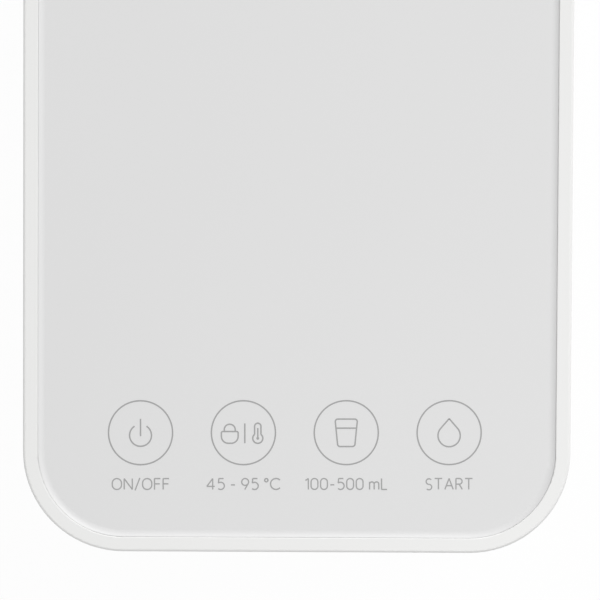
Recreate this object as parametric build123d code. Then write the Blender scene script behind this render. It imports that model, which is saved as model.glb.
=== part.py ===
from build123d import *
import os
from math import cos, radians, sin, sqrt, tan

# A countertop instant hot water dispenser, in millimetres. It stands on its feet at z = 0.
# +X is the user's right, +Y is the back, and the origin is the middle of the footprint.

# Outer form
BODY_WIDTH = 150.0
BODY_DEPTH = 310.0
BODY_HEIGHT = 280.0
CORNER_RADIUS = 27.5  # plan radius of the four corners
WALL = 2.5  # thickness of the mouldings
TANK_DEPTH = 109.0
COLUMN_DEPTH = 65.0
HEAD_HEIGHT = 68.0  # underside of the head to the top
BAND_HEIGHT = 18.0  # top band above the seam that runs all round
DECK_HEIGHT = 40.0  # tank seat and tray rim above the table
BAY_RADIUS = 14.0  # inside corner between column and head
BAY_EDGE = 2.8  # rounding along the edge of the cup bay
SEAM_RADIUS = 2.0  # upright edges beside the tank
SEAM_CHAMFER = 0.35  # small bevels that show a parting line
TANK_GAP = 1.0

# Clearances
FIT = 0.3  # between pieces that drop or slide into each other
SCREW_FIT = 0.1
RUNNING_FIT = 0.05
HOSE_FIT = 0.1

# Stand
FOOT_RADIUS = 9.0
FOOT_STANDOFF = 4.0
FOOT_SEAT = 1.2
FOOT_INSET = 25.0
BASE_THICKNESS = 3.5
PLINTH_INSET = 1.5
BASE_LIP_HEIGHT = 4.0
BASE_LIP_WALL = 1.6
VENT_COUNT = 5
VENT_PITCH = 9.0
VENT_WIDTH = 3.5
VENT_LENGTH = 40.0
VENT_INSET = 33.0  # side of the body to the middle of the vents
BASE_SCREW_SETBACKS = (5.5, 80.0, 132.0)  # behind the front of the column

# Screws
BOSS_RADIUS = 4.0
BOSS_HEIGHT = 16.0
BOSS_INSET = 3.0
SHANK_RADIUS = 1.4
SHANK_LENGTH = 9.0
SCREW_HEAD_RADIUS = 2.8
SCREW_HEAD_HEIGHT = 1.8
SCREW_DRIVE_RADIUS = 1.1
SCREW_DRIVE_DEPTH = 0.9
FLAT_HEAD_HEIGHT = 0.8

# Rear cover of the column
COVER_MARGIN = 12.0
COVER_LAP = 8.0
COVER_THICKNESS = 1.5
COVER_CORNER = 6.0
COVER_BOSS_DEPTH = 9.0

# Touch panel
RIM_WIDTH = 4.1
RIM_ROUND = 0.8  # outer edge of the rim
RIM_INNER_ROUND = 0.3
PLATE_SEAM = 0.05
PLATE_DROP = 0.15  # edge of the panel below the top of the rim
PLATE_RISE = 0.6  # how far the panel turns up towards its edge
PLATE_HOLLOW = 2.85  # radius of that turn
PLATE_THICKNESS = 2.0
PLATE_CORNER = 3.2  # back corners of the panel
LEDGE_WIDTH = 3.0
LEDGE_THICKNESS = 2.0
TONGUE_DEPTH = 4.0
TONGUE_WALL = 1.6
TONGUE_ROOT = 3.0
ICON_COUNT = 4
ICON_PITCH = 28.0
ICON_SETBACK = 32.7  # front of the head to the row of icons
TOUCH_GAP = 5.0
TOUCH_BOARD_MARGIN = 14.0  # side of the body to the board
TOUCH_BOARD_LENGTH = 76.0
TOUCH_BOARD_SETBACK = 17.0
BOARD_THICKNESS = 1.6
STAKE_INSET = 6.0
STAKE_RADIUS = 2.6
STAKE_PIN_RADIUS = 1.2
STAKE_PIN_LENGTH = 2.8
TOUCH_SPRING_RADIUS = 4.5
TOUCH_SPRING_WALL = 0.8
DISPLAY_WIDTH = 56.0
DISPLAY_LENGTH = 22.0
DISPLAY_HEIGHT = 4.6
DISPLAY_OFFSET = 34.0  # behind the row of icons

# Outlet
SHROUD_RADIUS = 18.0
SHROUD_WALL = 2.4
SHROUD_DROP = 10.0
SHROUD_FLANGE = 5.0
SHROUD_FLANGE_THICKNESS = 2.0
SHROUD_ROUND = 2.0
NOZZLE_RADIUS = 6.5
NOZZLE_BORE = 3.6
NOZZLE_FLANGE = 3.5
NOZZLE_FLANGE_THICKNESS = 2.5
NOZZLE_DROP = 7.0  # below the shroud
NOZZLE_HEIGHT = 18.0
NOZZLE_ROUND = 1.2
CHAMBER_RADIUS = 20.0
CHAMBER_WALL = 2.0
CHAMBER_HEIGHT = 30.0
CHAMBER_EAR_REACH = 27.0
CHAMBER_EAR_THICKNESS = 3.0
CHAMBER_EAR_LIFT = 6.0
CHAMBER_SPIGOT_RADIUS = 3.3
CHAMBER_SPIGOT_BORE = 2.2
CHAMBER_SPIGOT_DROP = 9.0
CHAMBER_PORT_LIFT = 19.0
CHAMBER_VENT_RADIUS = 3.0
CHAMBER_VENT_BORE = 1.5
CHAMBER_VENT_HEIGHT = 7.0

# Water line
SPIGOT_RADIUS = 4.5
SPIGOT_BORE = 3.0
SPIGOT_LENGTH = 9.0
HOSE_WALL = 1.9
HOSE_GRIP = 8.0  # length of hose pushed over a spigot
DOCK_HOSE_BEND = 15.0
RISER_BEND = 15.0
RISER_SWEEP = 24.0
OUTLET_BEND = 20.0
OUTLET_SWEEP = 28.0
HOSE_RUN_SHARE = 0.95  # of a straight run, left to the bends at its ends

# Heater
HEATER_INSET = 39.0  # side of the body to the heater's axis
HEATER_RADIUS = 17.0
HEATER_WALL = 1.2
HEATER_HEADROOM = 36.5  # upper cap to the hose that leaves over it
HEATER_LEVEL = 62.0  # underside of the lower cap
CAP_RADIUS = 25.0
CAP_HEIGHT = 16.0
CAP_FLOOR = 4.0
CAP_SOCKET = 4.0
CAP_CHAMBER_RADIUS = 14.0
HEATER_SEAL = 1.5
ROD_COUNT = 3
ROD_RADIUS = 2.0
ROD_CIRCLE = 21.0
ROD_HEAD_RADIUS = 3.5
ROD_HEAD_HEIGHT = 3.0
STAND_WIDTH = 44.0
STAND_THICKNESS = 3.0
STAND_LEG_WIDTH = 40.0
CUTOUT_INSET = 16.0  # from the caps to the cutouts
CUTOUT_BAND_WALL = 1.3
CUTOUT_BAND_HEIGHT = 10.0
CUTOUT_SADDLE = 14.0
CUTOUT_REACH = 22.0
CUTOUT_RADIUS = 8.0
CUTOUT_LENGTH = 8.0
PROBE_OFFSET = 11.0
PROBE_RADIUS = 2.4
PROBE_DEPTH = 8.0
PROBE_HEAD_RADIUS = 3.8
PROBE_HEAD_HEIGHT = 6.0

# Pump
PUMP_INSET = 29.0  # side of the body to the pump's axis
PUMP_Z = 26.0
PUMP_RADIUS = 16.0
PUMP_WALL = 1.8
PUMP_SETBACK = 8.0  # behind the front of the column
PUMP_LENGTH = 34.0
STATOR_BORE = 9.0
STATOR_LENGTH = 25.0
CAN_RADIUS = 8.6
CAN_WALL = 1.0
CAN_FLANGE = 2.0
CAN_DEPTH = 28.0
CAN_END = 2.0
CAN_BOSS_RADIUS = 2.8
CAN_BOSS_LENGTH = 3.0
PUMP_SHAFT_RADIUS = 1.5
MAGNET_RADIUS = 7.2
IMPELLER_RADIUS = 12.0
IMPELLER_DISC = 2.0
IMPELLER_HUB_RADIUS = 3.2
VANE_COUNT = 5
VANE_THICKNESS = 1.5
VANE_HEIGHT = 4.0
VOLUTE_DEPTH = 10.0
VOLUTE_WALL = 3.0
VOLUTE_BORE = 14.0
PUMP_OUTLET_OFFSET = 9.5
PUMP_OUTLET_RISE = 27.0
CRADLE_WIDTH = 40.0
CRADLE_LENGTH = 24.0
CRADLE_DROP = 4.0  # top of the cradle below the pump axis

# Flow meter
METER_RADIUS = 10.0
METER_BORE = 8.0
METER_WALL = 4.0
METER_LENGTH = 20.0
METER_CAP = 4.0
METER_HOSE_GAP = 2.0
METER_FOOT_WIDTH = 10.0
METER_FOOT_LENGTH = 14.0
METER_BRIDGE = 3.0
METER_BRIDGE_DEPTH = 2.0
METER_PLUG_WALL = 1.4
METER_AXLE_RADIUS = 1.0
TURBINE_HUB_RADIUS = 2.5
TURBINE_RADIUS = 7.5
TURBINE_LENGTH = 8.0
TURBINE_BLADES = 4
TURBINE_BLADE_THICKNESS = 1.2

# Electrics
POWER_BOARD_LEFT = 8.0
POWER_BOARD_INSET = 9.0  # side of the body to the board
POWER_BOARD_LEVEL = 84.0
POWER_BOARD_HEADROOM = 18.0  # below the head
POWER_BOARD_STANDOFF = 8.0
POWER_POST_RADIUS = 3.0
POWER_POST_INSET = 5.0
POWER_PART_MARGIN = 1.0
POWER_PART_GAP = 2.0
RELAY_SIZE = (19.0, 15.0, 15.5)
TRANSFORMER_SIZE = (24.0, 18.0, 20.0)
CAPACITOR_RADIUS = 5.0
CAPACITOR_LENGTH = 17.0
CAPACITOR_COUNT = 2
CAPACITOR_PITCH = 13.0
HEAT_SINK_SIZE = (34.0, 16.0, 22.0)
HEAT_SINK_FINS = 5
HEAT_SINK_FIN = 2.0
HEAT_SINK_BACK = 3.0
SENSOR_SIZE = (10.0, 4.0, 24.0)
SENSOR_LEVEL = 64.0
GLAND_INSET = 39.0  # side of the body to the cord entry
GLAND_Z = 22.0
GLAND_RADIUS = 6.5
GLAND_CORNER = 2.0  # upper corners of the slot that it slides into
GLAND_BORE = 4.0
GLAND_FLANGE_RADIUS = 10.0
GLAND_FLANGE_THICKNESS = 2.5
GLAND_TAIL = 6.0

# Tank seat
DOCK_SETBACK = 58.0  # behind the front of the tank
DOCK_RADIUS = 20.0
DOCK_FLANGE = 4.0
DOCK_FLANGE_THICKNESS = 3.0
DOCK_BOTTOM = 12.0
DOCK_FLOOR = 5.0
DOCK_BORE = 14.0
DOCK_MOUTH = 16.5
DOCK_PEDESTAL_RADIUS = 14.0
DOCK_PIN_RADIUS = 2.5
DOCK_PIN_TOP = 10.0  # below the tank seat
DOCK_SEAL_LEVEL = 10.0  # below the tank seat
DOCK_SEAL_HEIGHT = 3.0
DOCK_SEAL_BORE = 11.6

# Tank
TANK_FLOOR = 3.0
TANK_CORNER = 4.0  # front corners of the tank
VALVE_NECK_RADIUS = 11.0
VALVE_NECK_DROP = 12.0
VALVE_FLANGE_RADIUS = 17.0
VALVE_FLANGE_THICKNESS = 3.0
VALVE_BORE = 8.0
VALVE_SEAT_BORE = 5.0
VALVE_SEAT_DROP = 6.0  # seat below the tank floor's top
VALVE_SEAT_THICKNESS = 3.0
VALVE_LIFT = 4.0
VALVE_GAP = 0.1
VALVE_DISC_RADIUS = 6.8
VALVE_DISC_THICKNESS = 2.0
VALVE_PAD = 1.0
VALVE_STEM_RADIUS = 1.8
VALVE_STEM_RISE = 20.0
NUT_RADIUS = 13.5
NUT_HEIGHT = 6.0
SPRING_RADIUS = 5.5
SPRING_WIRE = 1.0
CAGE_RADIUS = 10.5
CAGE_WALL = 2.0
CAGE_FLANGE = 2.0
CAGE_HEIGHT = 12.0
CAGE_ROOF = 3.0
CAGE_WINDOW_WIDTH = 9.0
CAGE_WINDOW_HEIGHT = 7.0
FLOAT_INSET = 30.0  # side of the body to the float
FLOAT_SETBACK = 16.0
FLOAT_ROD_RADIUS = 3.5
FLOAT_ROD_HEIGHT = 56.0
FLOAT_BASE_RADIUS = 9.0
FLOAT_BASE_THICKNESS = 2.0
FLOAT_KNOB_RADIUS = 6.0
FLOAT_KNOB_THICKNESS = 3.0
FLOAT_RADIUS = 11.0
FLOAT_HEIGHT = 15.0
FLOAT_ROUND = 2.0

# Tank cover
SKIRT_GAP = 1.6
SKIRT_WALL = 2.4
SKIRT_DEPTH = 8.0
SKIRT_ROOT = 2.5
SEAL_HEIGHT = 3.0
SEAL_DROP = 3.0
SEAL_GROOVE = 0.8
HANDLE_WIDTH = 6.0
HANDLE_HEIGHT = 6.4
HANDLE_GAP = 0.4
HANDLE_SETBACK = 56.0  # front of the tank to the handle pivots
HANDLE_PIN_RADIUS = 1.5
HANDLE_PIN_GRIP = 7.0
HANDLE_PIN_INSET = 0.6
FLAP_WIDTH = 84.0
FLAP_SETBACK = 22.0  # front of the tank to the flap
FLAP_THICKNESS = 2.5
FLAP_GAP = 0.4
FLAP_CORNER = 4.0
FLAP_LEDGE = 4.0
FLAP_FRONT_LEDGE = 7.0
FLAP_FRAME = 4.0
FLAP_FRAME_DEPTH = 8.0
HINGE_INSET = 18.0  # back of the tank to the flap hinge
HINGE_DROP = 2.7
HINGE_CLEARANCE = 5.2
KNUCKLE_RADIUS = 2.4
KNUCKLE_WIDTH = 56.0
FLAP_PIN_RADIUS = 1.0
FLAP_PIN_GRIP = 8.0
SCOOP_WIDTH = 40.0
SCOOP_DEPTH = 8.0
SCOOP_OVERLAP = 4.0
SCOOP_WALL = 2.5

# Drip tray
TRAY_GAP = 0.5
TRAY_WALL = 3.0
TRAY_FLOOR = 2.5
TRAY_ROUND = 1.5
TRAY_CORNER = 2.0
SKID_INSET = 30.0  # side of the body to the skids
SKID_WIDTH = 4.4
SKID_DEPTH = 1.2
GRID_RIM = 1.4
GRID_REBATE = 2.2
GRID_THICKNESS = 1.5
SLOT_COUNT = 13
SLOT_PITCH = 8.5
SLOT_WIDTH = 4.0
SLOT_MARGIN = 11.0

# Planes and levels that follow from the sizes above
SIDE = BODY_WIDTH / 2
FRONT = -BODY_DEPTH / 2
REAR = BODY_DEPTH / 2
SPLIT_Y = REAR - TANK_DEPTH - TANK_GAP
COLUMN_FRONT = SPLIT_Y - COLUMN_DEPTH
TANK_FRONT = SPLIT_Y + TANK_GAP
BASE_TOP = FOOT_STANDOFF + BASE_THICKNESS
HEAD_BOTTOM = BODY_HEIGHT - HEAD_HEIGHT
HEAD_FLOOR = HEAD_BOTTOM + WALL
BAND_Z = BODY_HEIGHT - BAND_HEIGHT
PLATE_Z = BODY_HEIGHT - PLATE_DROP - PLATE_RISE
LEDGE_Z = PLATE_Z - PLATE_THICKNESS
TOUCH_BOARD_Z = LEDGE_Z - TOUCH_GAP
ICON_Y = FRONT + ICON_SETBACK
SPOUT_Y = (FRONT + COLUMN_FRONT) / 2
SHROUD_BOTTOM = HEAD_BOTTOM - SHROUD_DROP
CHAMBER_Z = HEAD_FLOOR + SHROUD_FLANGE_THICKNESS
OUTLET_Z = CHAMBER_Z + CHAMBER_PORT_LIFT
HEATER_X = HEATER_INSET - SIDE
HEATER_Y = (COLUMN_FRONT + SPLIT_Y) / 2
HEATER_TUBE_Z = HEATER_LEVEL + CAP_HEIGHT - CAP_SOCKET + HEATER_SEAL
UPPER_CAP_TOP = OUTLET_Z - HEATER_HEADROOM
HEATER_TUBE_TOP = UPPER_CAP_TOP - CAP_HEIGHT + CAP_SOCKET - HEATER_SEAL
HEATER_PORT_Z = HEATER_LEVEL + CAP_HEIGHT / 2
PUMP_X = SIDE - PUMP_INSET
PUMP_FRONT = COLUMN_FRONT + PUMP_SETBACK
CAN_Y = PUMP_FRONT + PUMP_LENGTH
VOLUTE_Y = CAN_Y + CAN_FLANGE
VOLUTE_END = VOLUTE_Y + VOLUTE_DEPTH + VOLUTE_WALL
METER_FRONT = VOLUTE_END + 2 * SPIGOT_LENGTH + METER_HOSE_GAP
METER_REAR = METER_FRONT + METER_LENGTH
METER_END = METER_REAR + METER_CAP
PUMP_OUTLET_Y = VOLUTE_Y + VOLUTE_DEPTH / 2
DOCK_Y = TANK_FRONT + DOCK_SETBACK
HOSE_INNER = SPIGOT_RADIUS + HOSE_FIT
HOSE_OUTER = HOSE_INNER + HOSE_WALL
POWER_BOARD_Y = COLUMN_FRONT + WALL + POWER_BOARD_STANDOFF
POWER_FACE_Y = POWER_BOARD_Y + BOARD_THICKNESS
POWER_BOARD_RIGHT = SIDE - POWER_BOARD_INSET
POWER_BOARD_TOP = HEAD_BOTTOM - POWER_BOARD_HEADROOM
GLAND_X = GLAND_INSET - SIDE
TANK_INNER_Z = DECK_HEIGHT + TANK_FLOOR
VALVE_SEAT_Z = TANK_INNER_Z - VALVE_SEAT_DROP
VALVE_DISC_Z = VALVE_SEAT_Z + VALVE_LIFT + VALVE_GAP + VALVE_PAD
CAGE_Z = TANK_INNER_Z + VALVE_FLANGE_THICKNESS
CAGE_ROOF_Z = CAGE_Z + CAGE_HEIGHT
FLOAT_X = SIDE - FLOAT_INSET
FLOAT_Y = TANK_FRONT + WALL + FLOAT_SETBACK
FLOAT_Z = TANK_INNER_Z + FLOAT_BASE_THICKNESS + FIT
PIVOT_Y = TANK_FRONT + HANDLE_SETBACK
PIVOT_Z = BODY_HEIGHT - HANDLE_HEIGHT / 2
HANDLE_FLOOR = BODY_HEIGHT - HANDLE_HEIGHT - HANDLE_GAP
HANDLE_INNER = HANDLE_WIDTH + HANDLE_GAP
FLAP_FRONT = TANK_FRONT + FLAP_SETBACK
FLAP_Z = BODY_HEIGHT - FLAP_THICKNESS
HINGE_Y = REAR - HINGE_INSET
HINGE_Z = BODY_HEIGHT - HINGE_DROP
FLAP_BACK = HINGE_Y - HINGE_CLEARANCE
SKID_X = SIDE - SKID_INSET
TRAY_BACK = COLUMN_FRONT - TRAY_GAP
TRAY_BOTTOM = BASE_TOP + FIT
CUT = 1.0  # how far a cut runs past the face that it opens


def slab(outline, bottom, top):
    """A flat outline raised between two levels."""
    return Pos(0, 0, bottom) * extrude(outline, top - bottom)


def block(x_span, y_span, z_span):
    """A box between two values on each axis."""
    spans = (x_span, y_span, z_span)
    centre = [(low + high) / 2 for low, high in spans]
    return Pos(*centre) * Box(*[high - low for low, high in spans])


def about(centre, width):
    """The span of a width about its centre."""
    return (centre - width / 2, centre + width / 2)


def bar(radius, start, end):
    """A round bar from one point to another."""
    run = Vector(*end) - Vector(*start)
    return Solid.make_cylinder(radius, run.length, Plane(origin=start, z_dir=run))


def post(radius, centre, bottom, top):
    """An upright round bar."""
    return bar(radius, (*centre, bottom), (*centre, top))


def ring(outer, inner, centre, bottom, top):
    """An upright round tube."""
    return post(outer, centre, bottom, top) - post(inner, centre, bottom, top)


def group(solids):
    """Like pieces that count as one."""
    return Compound(children=list(solids))


def mirrored_x(x):
    """The two places of a piece that stands on both sides."""
    return (-x, x)


def plan(inset):
    """The whole footprint, drawn in by an inset."""
    width, depth = BODY_WIDTH - 2 * inset, BODY_DEPTH - 2 * inset
    return RectangleRounded(width, depth, CORNER_RADIUS - inset)


def strip(front, back):
    """All that lies between two depths."""
    return Pos(0, (front + back) / 2) * Rectangle(2 * BODY_WIDTH, back - front)


def front_plan(inset, back_radius=SEAM_RADIUS):
    """The outline of the head and column, drawn in by an inset."""
    outline = plan(inset) & strip(FRONT - CUT, SPLIT_Y - inset)
    return fillet(outline.vertices().sort_by(Axis.Y)[-2:], back_radius)


def rear_plan(inset):
    """The outline of the tank, drawn in by an inset."""
    outline = plan(inset) & strip(TANK_FRONT + inset, REAR + CUT)
    return fillet(outline.vertices().sort_by(Axis.Y)[:2], max(TANK_CORNER - inset, SEAM_RADIUS))


def screw(point, direction, head_height):
    """A screw with a flat round head whose outer face is at the point."""
    start, way = Vector(*point), Vector(*direction)
    neck = start + way * head_height
    head = bar(SCREW_HEAD_RADIUS, start, neck)
    shank = bar(SHANK_RADIUS, neck, neck + way * SHANK_LENGTH)
    drive_depth = min(SCREW_DRIVE_DEPTH, head_height / 2)
    return head + shank - bar(SCREW_DRIVE_RADIUS, start, start + way * drive_depth)


def roomy_bends(points, bends):
    """The radii of a hose's bends, each no larger than the straight runs beside it leave room for."""
    places = [Vector(*point) for point in points]
    runs = [end - start for start, end in zip(places, places[1:])]
    room = [HOSE_RUN_SHARE * run.length for run in runs]
    room[1:-1] = [length / 2 for length in room[1:-1]]
    radii = []
    for index, bend in enumerate(bends):
        half_turn = radians(runs[index].get_angle(runs[index + 1]) / 2)
        radii.append(min(bend, min(room[index : index + 2]) / tan(half_turn)))
    return radii


def hose(points, bends):
    """A soft hose along straight runs and round bends, open at both ends."""
    path = FilletPolyline(*points, radius=roomy_bends(points, bends))
    start = Plane(origin=points[0], z_dir=Vector(*points[1]) - Vector(*points[0]))
    return sweep(start * Circle(HOSE_OUTER), path=path) - sweep(start * Circle(HOSE_INNER), path=path)


def foot_places():
    """Centres of the four feet."""
    return [(x, y) for x in mirrored_x(SIDE - FOOT_INSET) for y in (FRONT + FOOT_INSET, REAR - FOOT_INSET)]


def base_screw_places():
    """Centres of the screws between base plate and body."""
    sides = mirrored_x(SIDE - WALL - BOSS_INSET)
    return [(x, COLUMN_FRONT + setback) for x in sides for setback in BASE_SCREW_SETBACKS]


def base_plate():
    """The floor of the body, with foot seats, vents, tray grooves and a lip inside the body walls."""
    plate = slab(plan(PLINTH_INSET), FOOT_STANDOFF, BASE_TOP)
    lip_front = COLUMN_FRONT + WALL + FIT
    lip = slab(plan(WALL + FIT) & strip(lip_front, REAR), BASE_TOP, BASE_TOP + BASE_LIP_HEIGHT)
    inner = WALL + FIT + BASE_LIP_WALL
    room = plan(inner) & strip(lip_front + BASE_LIP_WALL, REAR)
    plate += lip - slab(room, BASE_TOP, BASE_TOP + BASE_LIP_HEIGHT)
    for centre in foot_places():
        plate -= post(FOOT_RADIUS + FIT, centre, FOOT_STANDOFF - CUT, FOOT_STANDOFF + FOOT_SEAT)
    for centre in base_screw_places():
        plate -= post(BOSS_RADIUS + FIT, centre, BASE_TOP, BASE_TOP + BASE_LIP_HEIGHT + CUT)
        plate -= post(SHANK_RADIUS + SCREW_FIT, centre, FOOT_STANDOFF - CUT, BASE_TOP + CUT)
        seat = FOOT_STANDOFF + SCREW_HEAD_HEIGHT
        plate -= post(SCREW_HEAD_RADIUS + FIT, centre, FOOT_STANDOFF - CUT, seat)
    for index in range(VENT_COUNT):
        y = REAR - 2 * FOOT_INSET + (index - VENT_COUNT + 1) * VENT_PITCH
        vent = Pos(VENT_INSET - SIDE, y) * SlotOverall(VENT_LENGTH, VENT_WIDTH)
        plate -= slab(vent, FOOT_STANDOFF - CUT, BASE_TOP + CUT)
    for x in mirrored_x(SKID_X):
        groove = about(x, SKID_WIDTH + 2 * FIT)
        plate -= block(groove, (FRONT - CUT, TRAY_BACK), (BASE_TOP - SKID_DEPTH, BASE_TOP + CUT))
    return plate


def rubber_feet():
    """Four soft discs pressed into the base plate."""
    return group(post(FOOT_RADIUS, centre, 0, FOOT_STANDOFF + FOOT_SEAT) for centre in foot_places())


def base_screws():
    """The screws that hold the body down on its base plate."""
    return group(
        screw((*centre, FOOT_STANDOFF), (0, 0, 1), SCREW_HEAD_HEIGHT) for centre in base_screw_places()
    )


def bay_cut(inset):
    """The cup bay's side profile run across the width; the inset makes the bay larger."""
    back, top = COLUMN_FRONT + inset, HEAD_BOTTOM + inset
    low, out = -CUT, FRONT - CUT
    profile = Plane.YZ * (Pos((out + back) / 2, (low + top) / 2) * Rectangle(back - out, top - low))
    inside_corner = profile.vertices().sort_by(Axis.Y)[-2:].sort_by(Axis.Z)[-1]
    return extrude(fillet([inside_corner], BAY_RADIUS + inset), BODY_WIDTH, both=True)


def is_bay_edge(edge):
    """Whether an edge runs along the rim of the cup bay."""
    middle = edge.center()
    on_rim = BASE_TOP + CUT < middle.Z < HEAD_BOTTOM + CUT and middle.Y < COLUMN_FRONT + CUT
    across = abs(middle.X) < CUT and middle.Y > FRONT + CUT
    return on_rim and not across


def body_outside():
    """The outer form of the column, head and tank plinth."""
    upright = slab(front_plan(0), BASE_TOP, BAND_Z) - bay_cut(0)
    upright = fillet([edge for edge in upright.edges() if is_bay_edge(edge)], BAY_EDGE)
    upright = chamfer(upright.edges().group_by(Axis.Z)[-1], SEAM_CHAMFER)
    return upright + slab(plan(0) & strip(HEATER_Y, REAR + CUT), BASE_TOP, DECK_HEIGHT)


def body_inside():
    """The hollow of the column, head and tank plinth."""
    upright = slab(front_plan(WALL), BASE_TOP - CUT, BAND_Z + CUT) - bay_cut(WALL)
    return upright + slab(plan(WALL) & strip(HEATER_Y, REAR), BASE_TOP - CUT, DECK_HEIGHT - WALL)


def rear_panel(margin, front, back):
    """A rounded panel on the back of the column, drawn in from the column's outline by a margin."""
    low, high = DECK_HEIGHT + margin, BAND_Z - margin
    outline = RectangleRounded(BODY_WIDTH - 2 * margin, high - low, COVER_CORNER)
    return Pos(0, back, (low + high) / 2) * Rot(90, 0, 0) * extrude(outline, back - front)


def cover_screw_places():
    """Centres of the rear cover's screws, as x and z."""
    inset = COVER_MARGIN + COVER_LAP / 2
    return [(x, z) for x in mirrored_x(SIDE - inset) for z in (DECK_HEIGHT + inset, BAND_Z - inset)]


def power_post_places():
    """Centres of the power board's posts, as x and z."""
    left, right = POWER_BOARD_LEFT + POWER_POST_INSET, POWER_BOARD_RIGHT - POWER_POST_INSET
    low, high = POWER_BOARD_LEVEL + POWER_POST_INSET, POWER_BOARD_TOP - POWER_POST_INSET
    return [(x, z) for x in (left, right) for z in (low, high)]


def gland_slot(reach, bottom, front, back):
    """An upright slot with rounded upper corners, along the mains lead's way in."""
    height = GLAND_Z + reach - bottom
    outline = Rectangle(2 * reach, height)
    outline = fillet(outline.vertices().group_by(Axis.Y)[-1], GLAND_CORNER)
    return Pos(GLAND_X, back, bottom + height / 2) * Rot(90, 0, 0) * extrude(outline, back - front)


def body_shell():
    """The one-piece moulding of column, overhanging head and tank plinth."""
    shell = body_outside() - body_inside()
    for centre in base_screw_places():
        shell += post(BOSS_RADIUS, centre, BASE_TOP, BASE_TOP + BOSS_HEIGHT)
    for x, z in cover_screw_places():
        shell += bar(BOSS_RADIUS, (x, SPLIT_Y - COVER_BOSS_DEPTH, z), (x, SPLIT_Y - COVER_THICKNESS, z))
    for x, z in power_post_places():
        shell += bar(POWER_POST_RADIUS, (x, COLUMN_FRONT + WALL / 2, z), (x, POWER_BOARD_Y, z))
    for x in mirrored_x(CHAMBER_EAR_REACH):
        shell += post(BOSS_RADIUS, (x, SPOUT_Y), HEAD_BOTTOM + WALL / 2, CHAMBER_Z + CHAMBER_EAR_LIFT)
    for centre in base_screw_places():
        shell -= post(SHANK_RADIUS + SCREW_FIT, centre, BASE_TOP - CUT, BASE_TOP + BOSS_HEIGHT - CUT)
    shell -= rear_panel(COVER_MARGIN - FIT, SPLIT_Y - COVER_THICKNESS, SPLIT_Y + CUT)
    shell -= rear_panel(COVER_MARGIN + COVER_LAP, SPLIT_Y - 2 * WALL, SPLIT_Y + CUT)
    for x, z in cover_screw_places():
        shell -= bar(SHANK_RADIUS + SCREW_FIT, (x, SPLIT_Y - COVER_BOSS_DEPTH - CUT, z), (x, SPLIT_Y, z))
    for x in mirrored_x(CHAMBER_EAR_REACH):
        hole_top = CHAMBER_Z + CHAMBER_EAR_LIFT + CUT
        shell -= post(SHANK_RADIUS + SCREW_FIT, (x, SPOUT_Y), HEAD_FLOOR - WALL / 2, hole_top)
    shell -= post(SHROUD_RADIUS + FIT, (0, SPOUT_Y), HEAD_BOTTOM - CUT, HEAD_FLOOR + CUT)
    shell -= post(DOCK_RADIUS + FIT, (0, DOCK_Y), DECK_HEIGHT - WALL - CUT, DECK_HEIGHT + CUT)
    return shell - gland_slot(GLAND_RADIUS + FIT, BASE_TOP - CUT, REAR - 2 * WALL, REAR + CUT)


def rear_cover():
    """The flush panel that closes the back of the column behind the tank."""
    cover = rear_panel(COVER_MARGIN, SPLIT_Y - COVER_THICKNESS, SPLIT_Y)
    for x, z in cover_screw_places():
        cover -= bar(SCREW_HEAD_RADIUS + FIT, (x, SPLIT_Y - FLAT_HEAD_HEIGHT, z), (x, SPLIT_Y + CUT, z))
        cover -= bar(SHANK_RADIUS + SCREW_FIT, (x, SPLIT_Y - 2 * WALL, z), (x, SPLIT_Y, z))
    return cover


def rear_cover_screws():
    """Low-headed screws, flush with the rear cover."""
    return group(
        screw((x, SPLIT_Y, z), (0, -1, 0), FLAT_HEAD_HEIGHT) for x, z in cover_screw_places()
    )


def top_bezel():
    """The white frame of the head, with a ledge that carries the touch panel."""
    frame = slab(front_plan(0), BAND_Z, BODY_HEIGHT)
    frame = fillet(frame.edges().group_by(Axis.Z)[-1], RIM_ROUND)
    frame = chamfer(frame.edges().group_by(Axis.Z)[0], SEAM_CHAMFER)
    frame -= slab(front_plan(RIM_WIDTH, PLATE_CORNER), LEDGE_Z, BODY_HEIGHT + CUT)
    brink = Pos(0, 0, BODY_HEIGHT) * front_plan(0).face().outer_wire()
    top_edges = frame.edges().group_by(Axis.Z)[-1]
    inner_edges = [edge for edge in top_edges if edge.distance_to(brink) > RIM_WIDTH / 2]
    frame = fillet(inner_edges, RIM_INNER_ROUND)
    frame -= slab(front_plan(RIM_WIDTH + LEDGE_WIDTH), BAND_Z - CUT, LEDGE_Z + CUT)
    frame -= slab(front_plan(WALL), BAND_Z - CUT, LEDGE_Z - LEDGE_THICKNESS)
    inner = WALL + FIT + TONGUE_WALL
    root = slab(front_plan(WALL / 2), BAND_Z, BAND_Z + TONGUE_ROOT)
    tongue = slab(front_plan(WALL + FIT), BAND_Z - TONGUE_DEPTH, BAND_Z + TONGUE_ROOT)
    return frame + (root + tongue - slab(front_plan(inner), BAND_Z - 2 * TONGUE_DEPTH, BODY_HEIGHT))


def stake_places():
    """Centres of the posts that hold the touch board."""
    front = FRONT + TOUCH_BOARD_SETBACK + STAKE_INSET
    back = FRONT + TOUCH_BOARD_SETBACK + TOUCH_BOARD_LENGTH - STAKE_INSET
    sides = mirrored_x(SIDE - TOUCH_BOARD_MARGIN - STAKE_INSET)
    return [(x, y) for x in sides for y in (front, back)]


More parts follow.
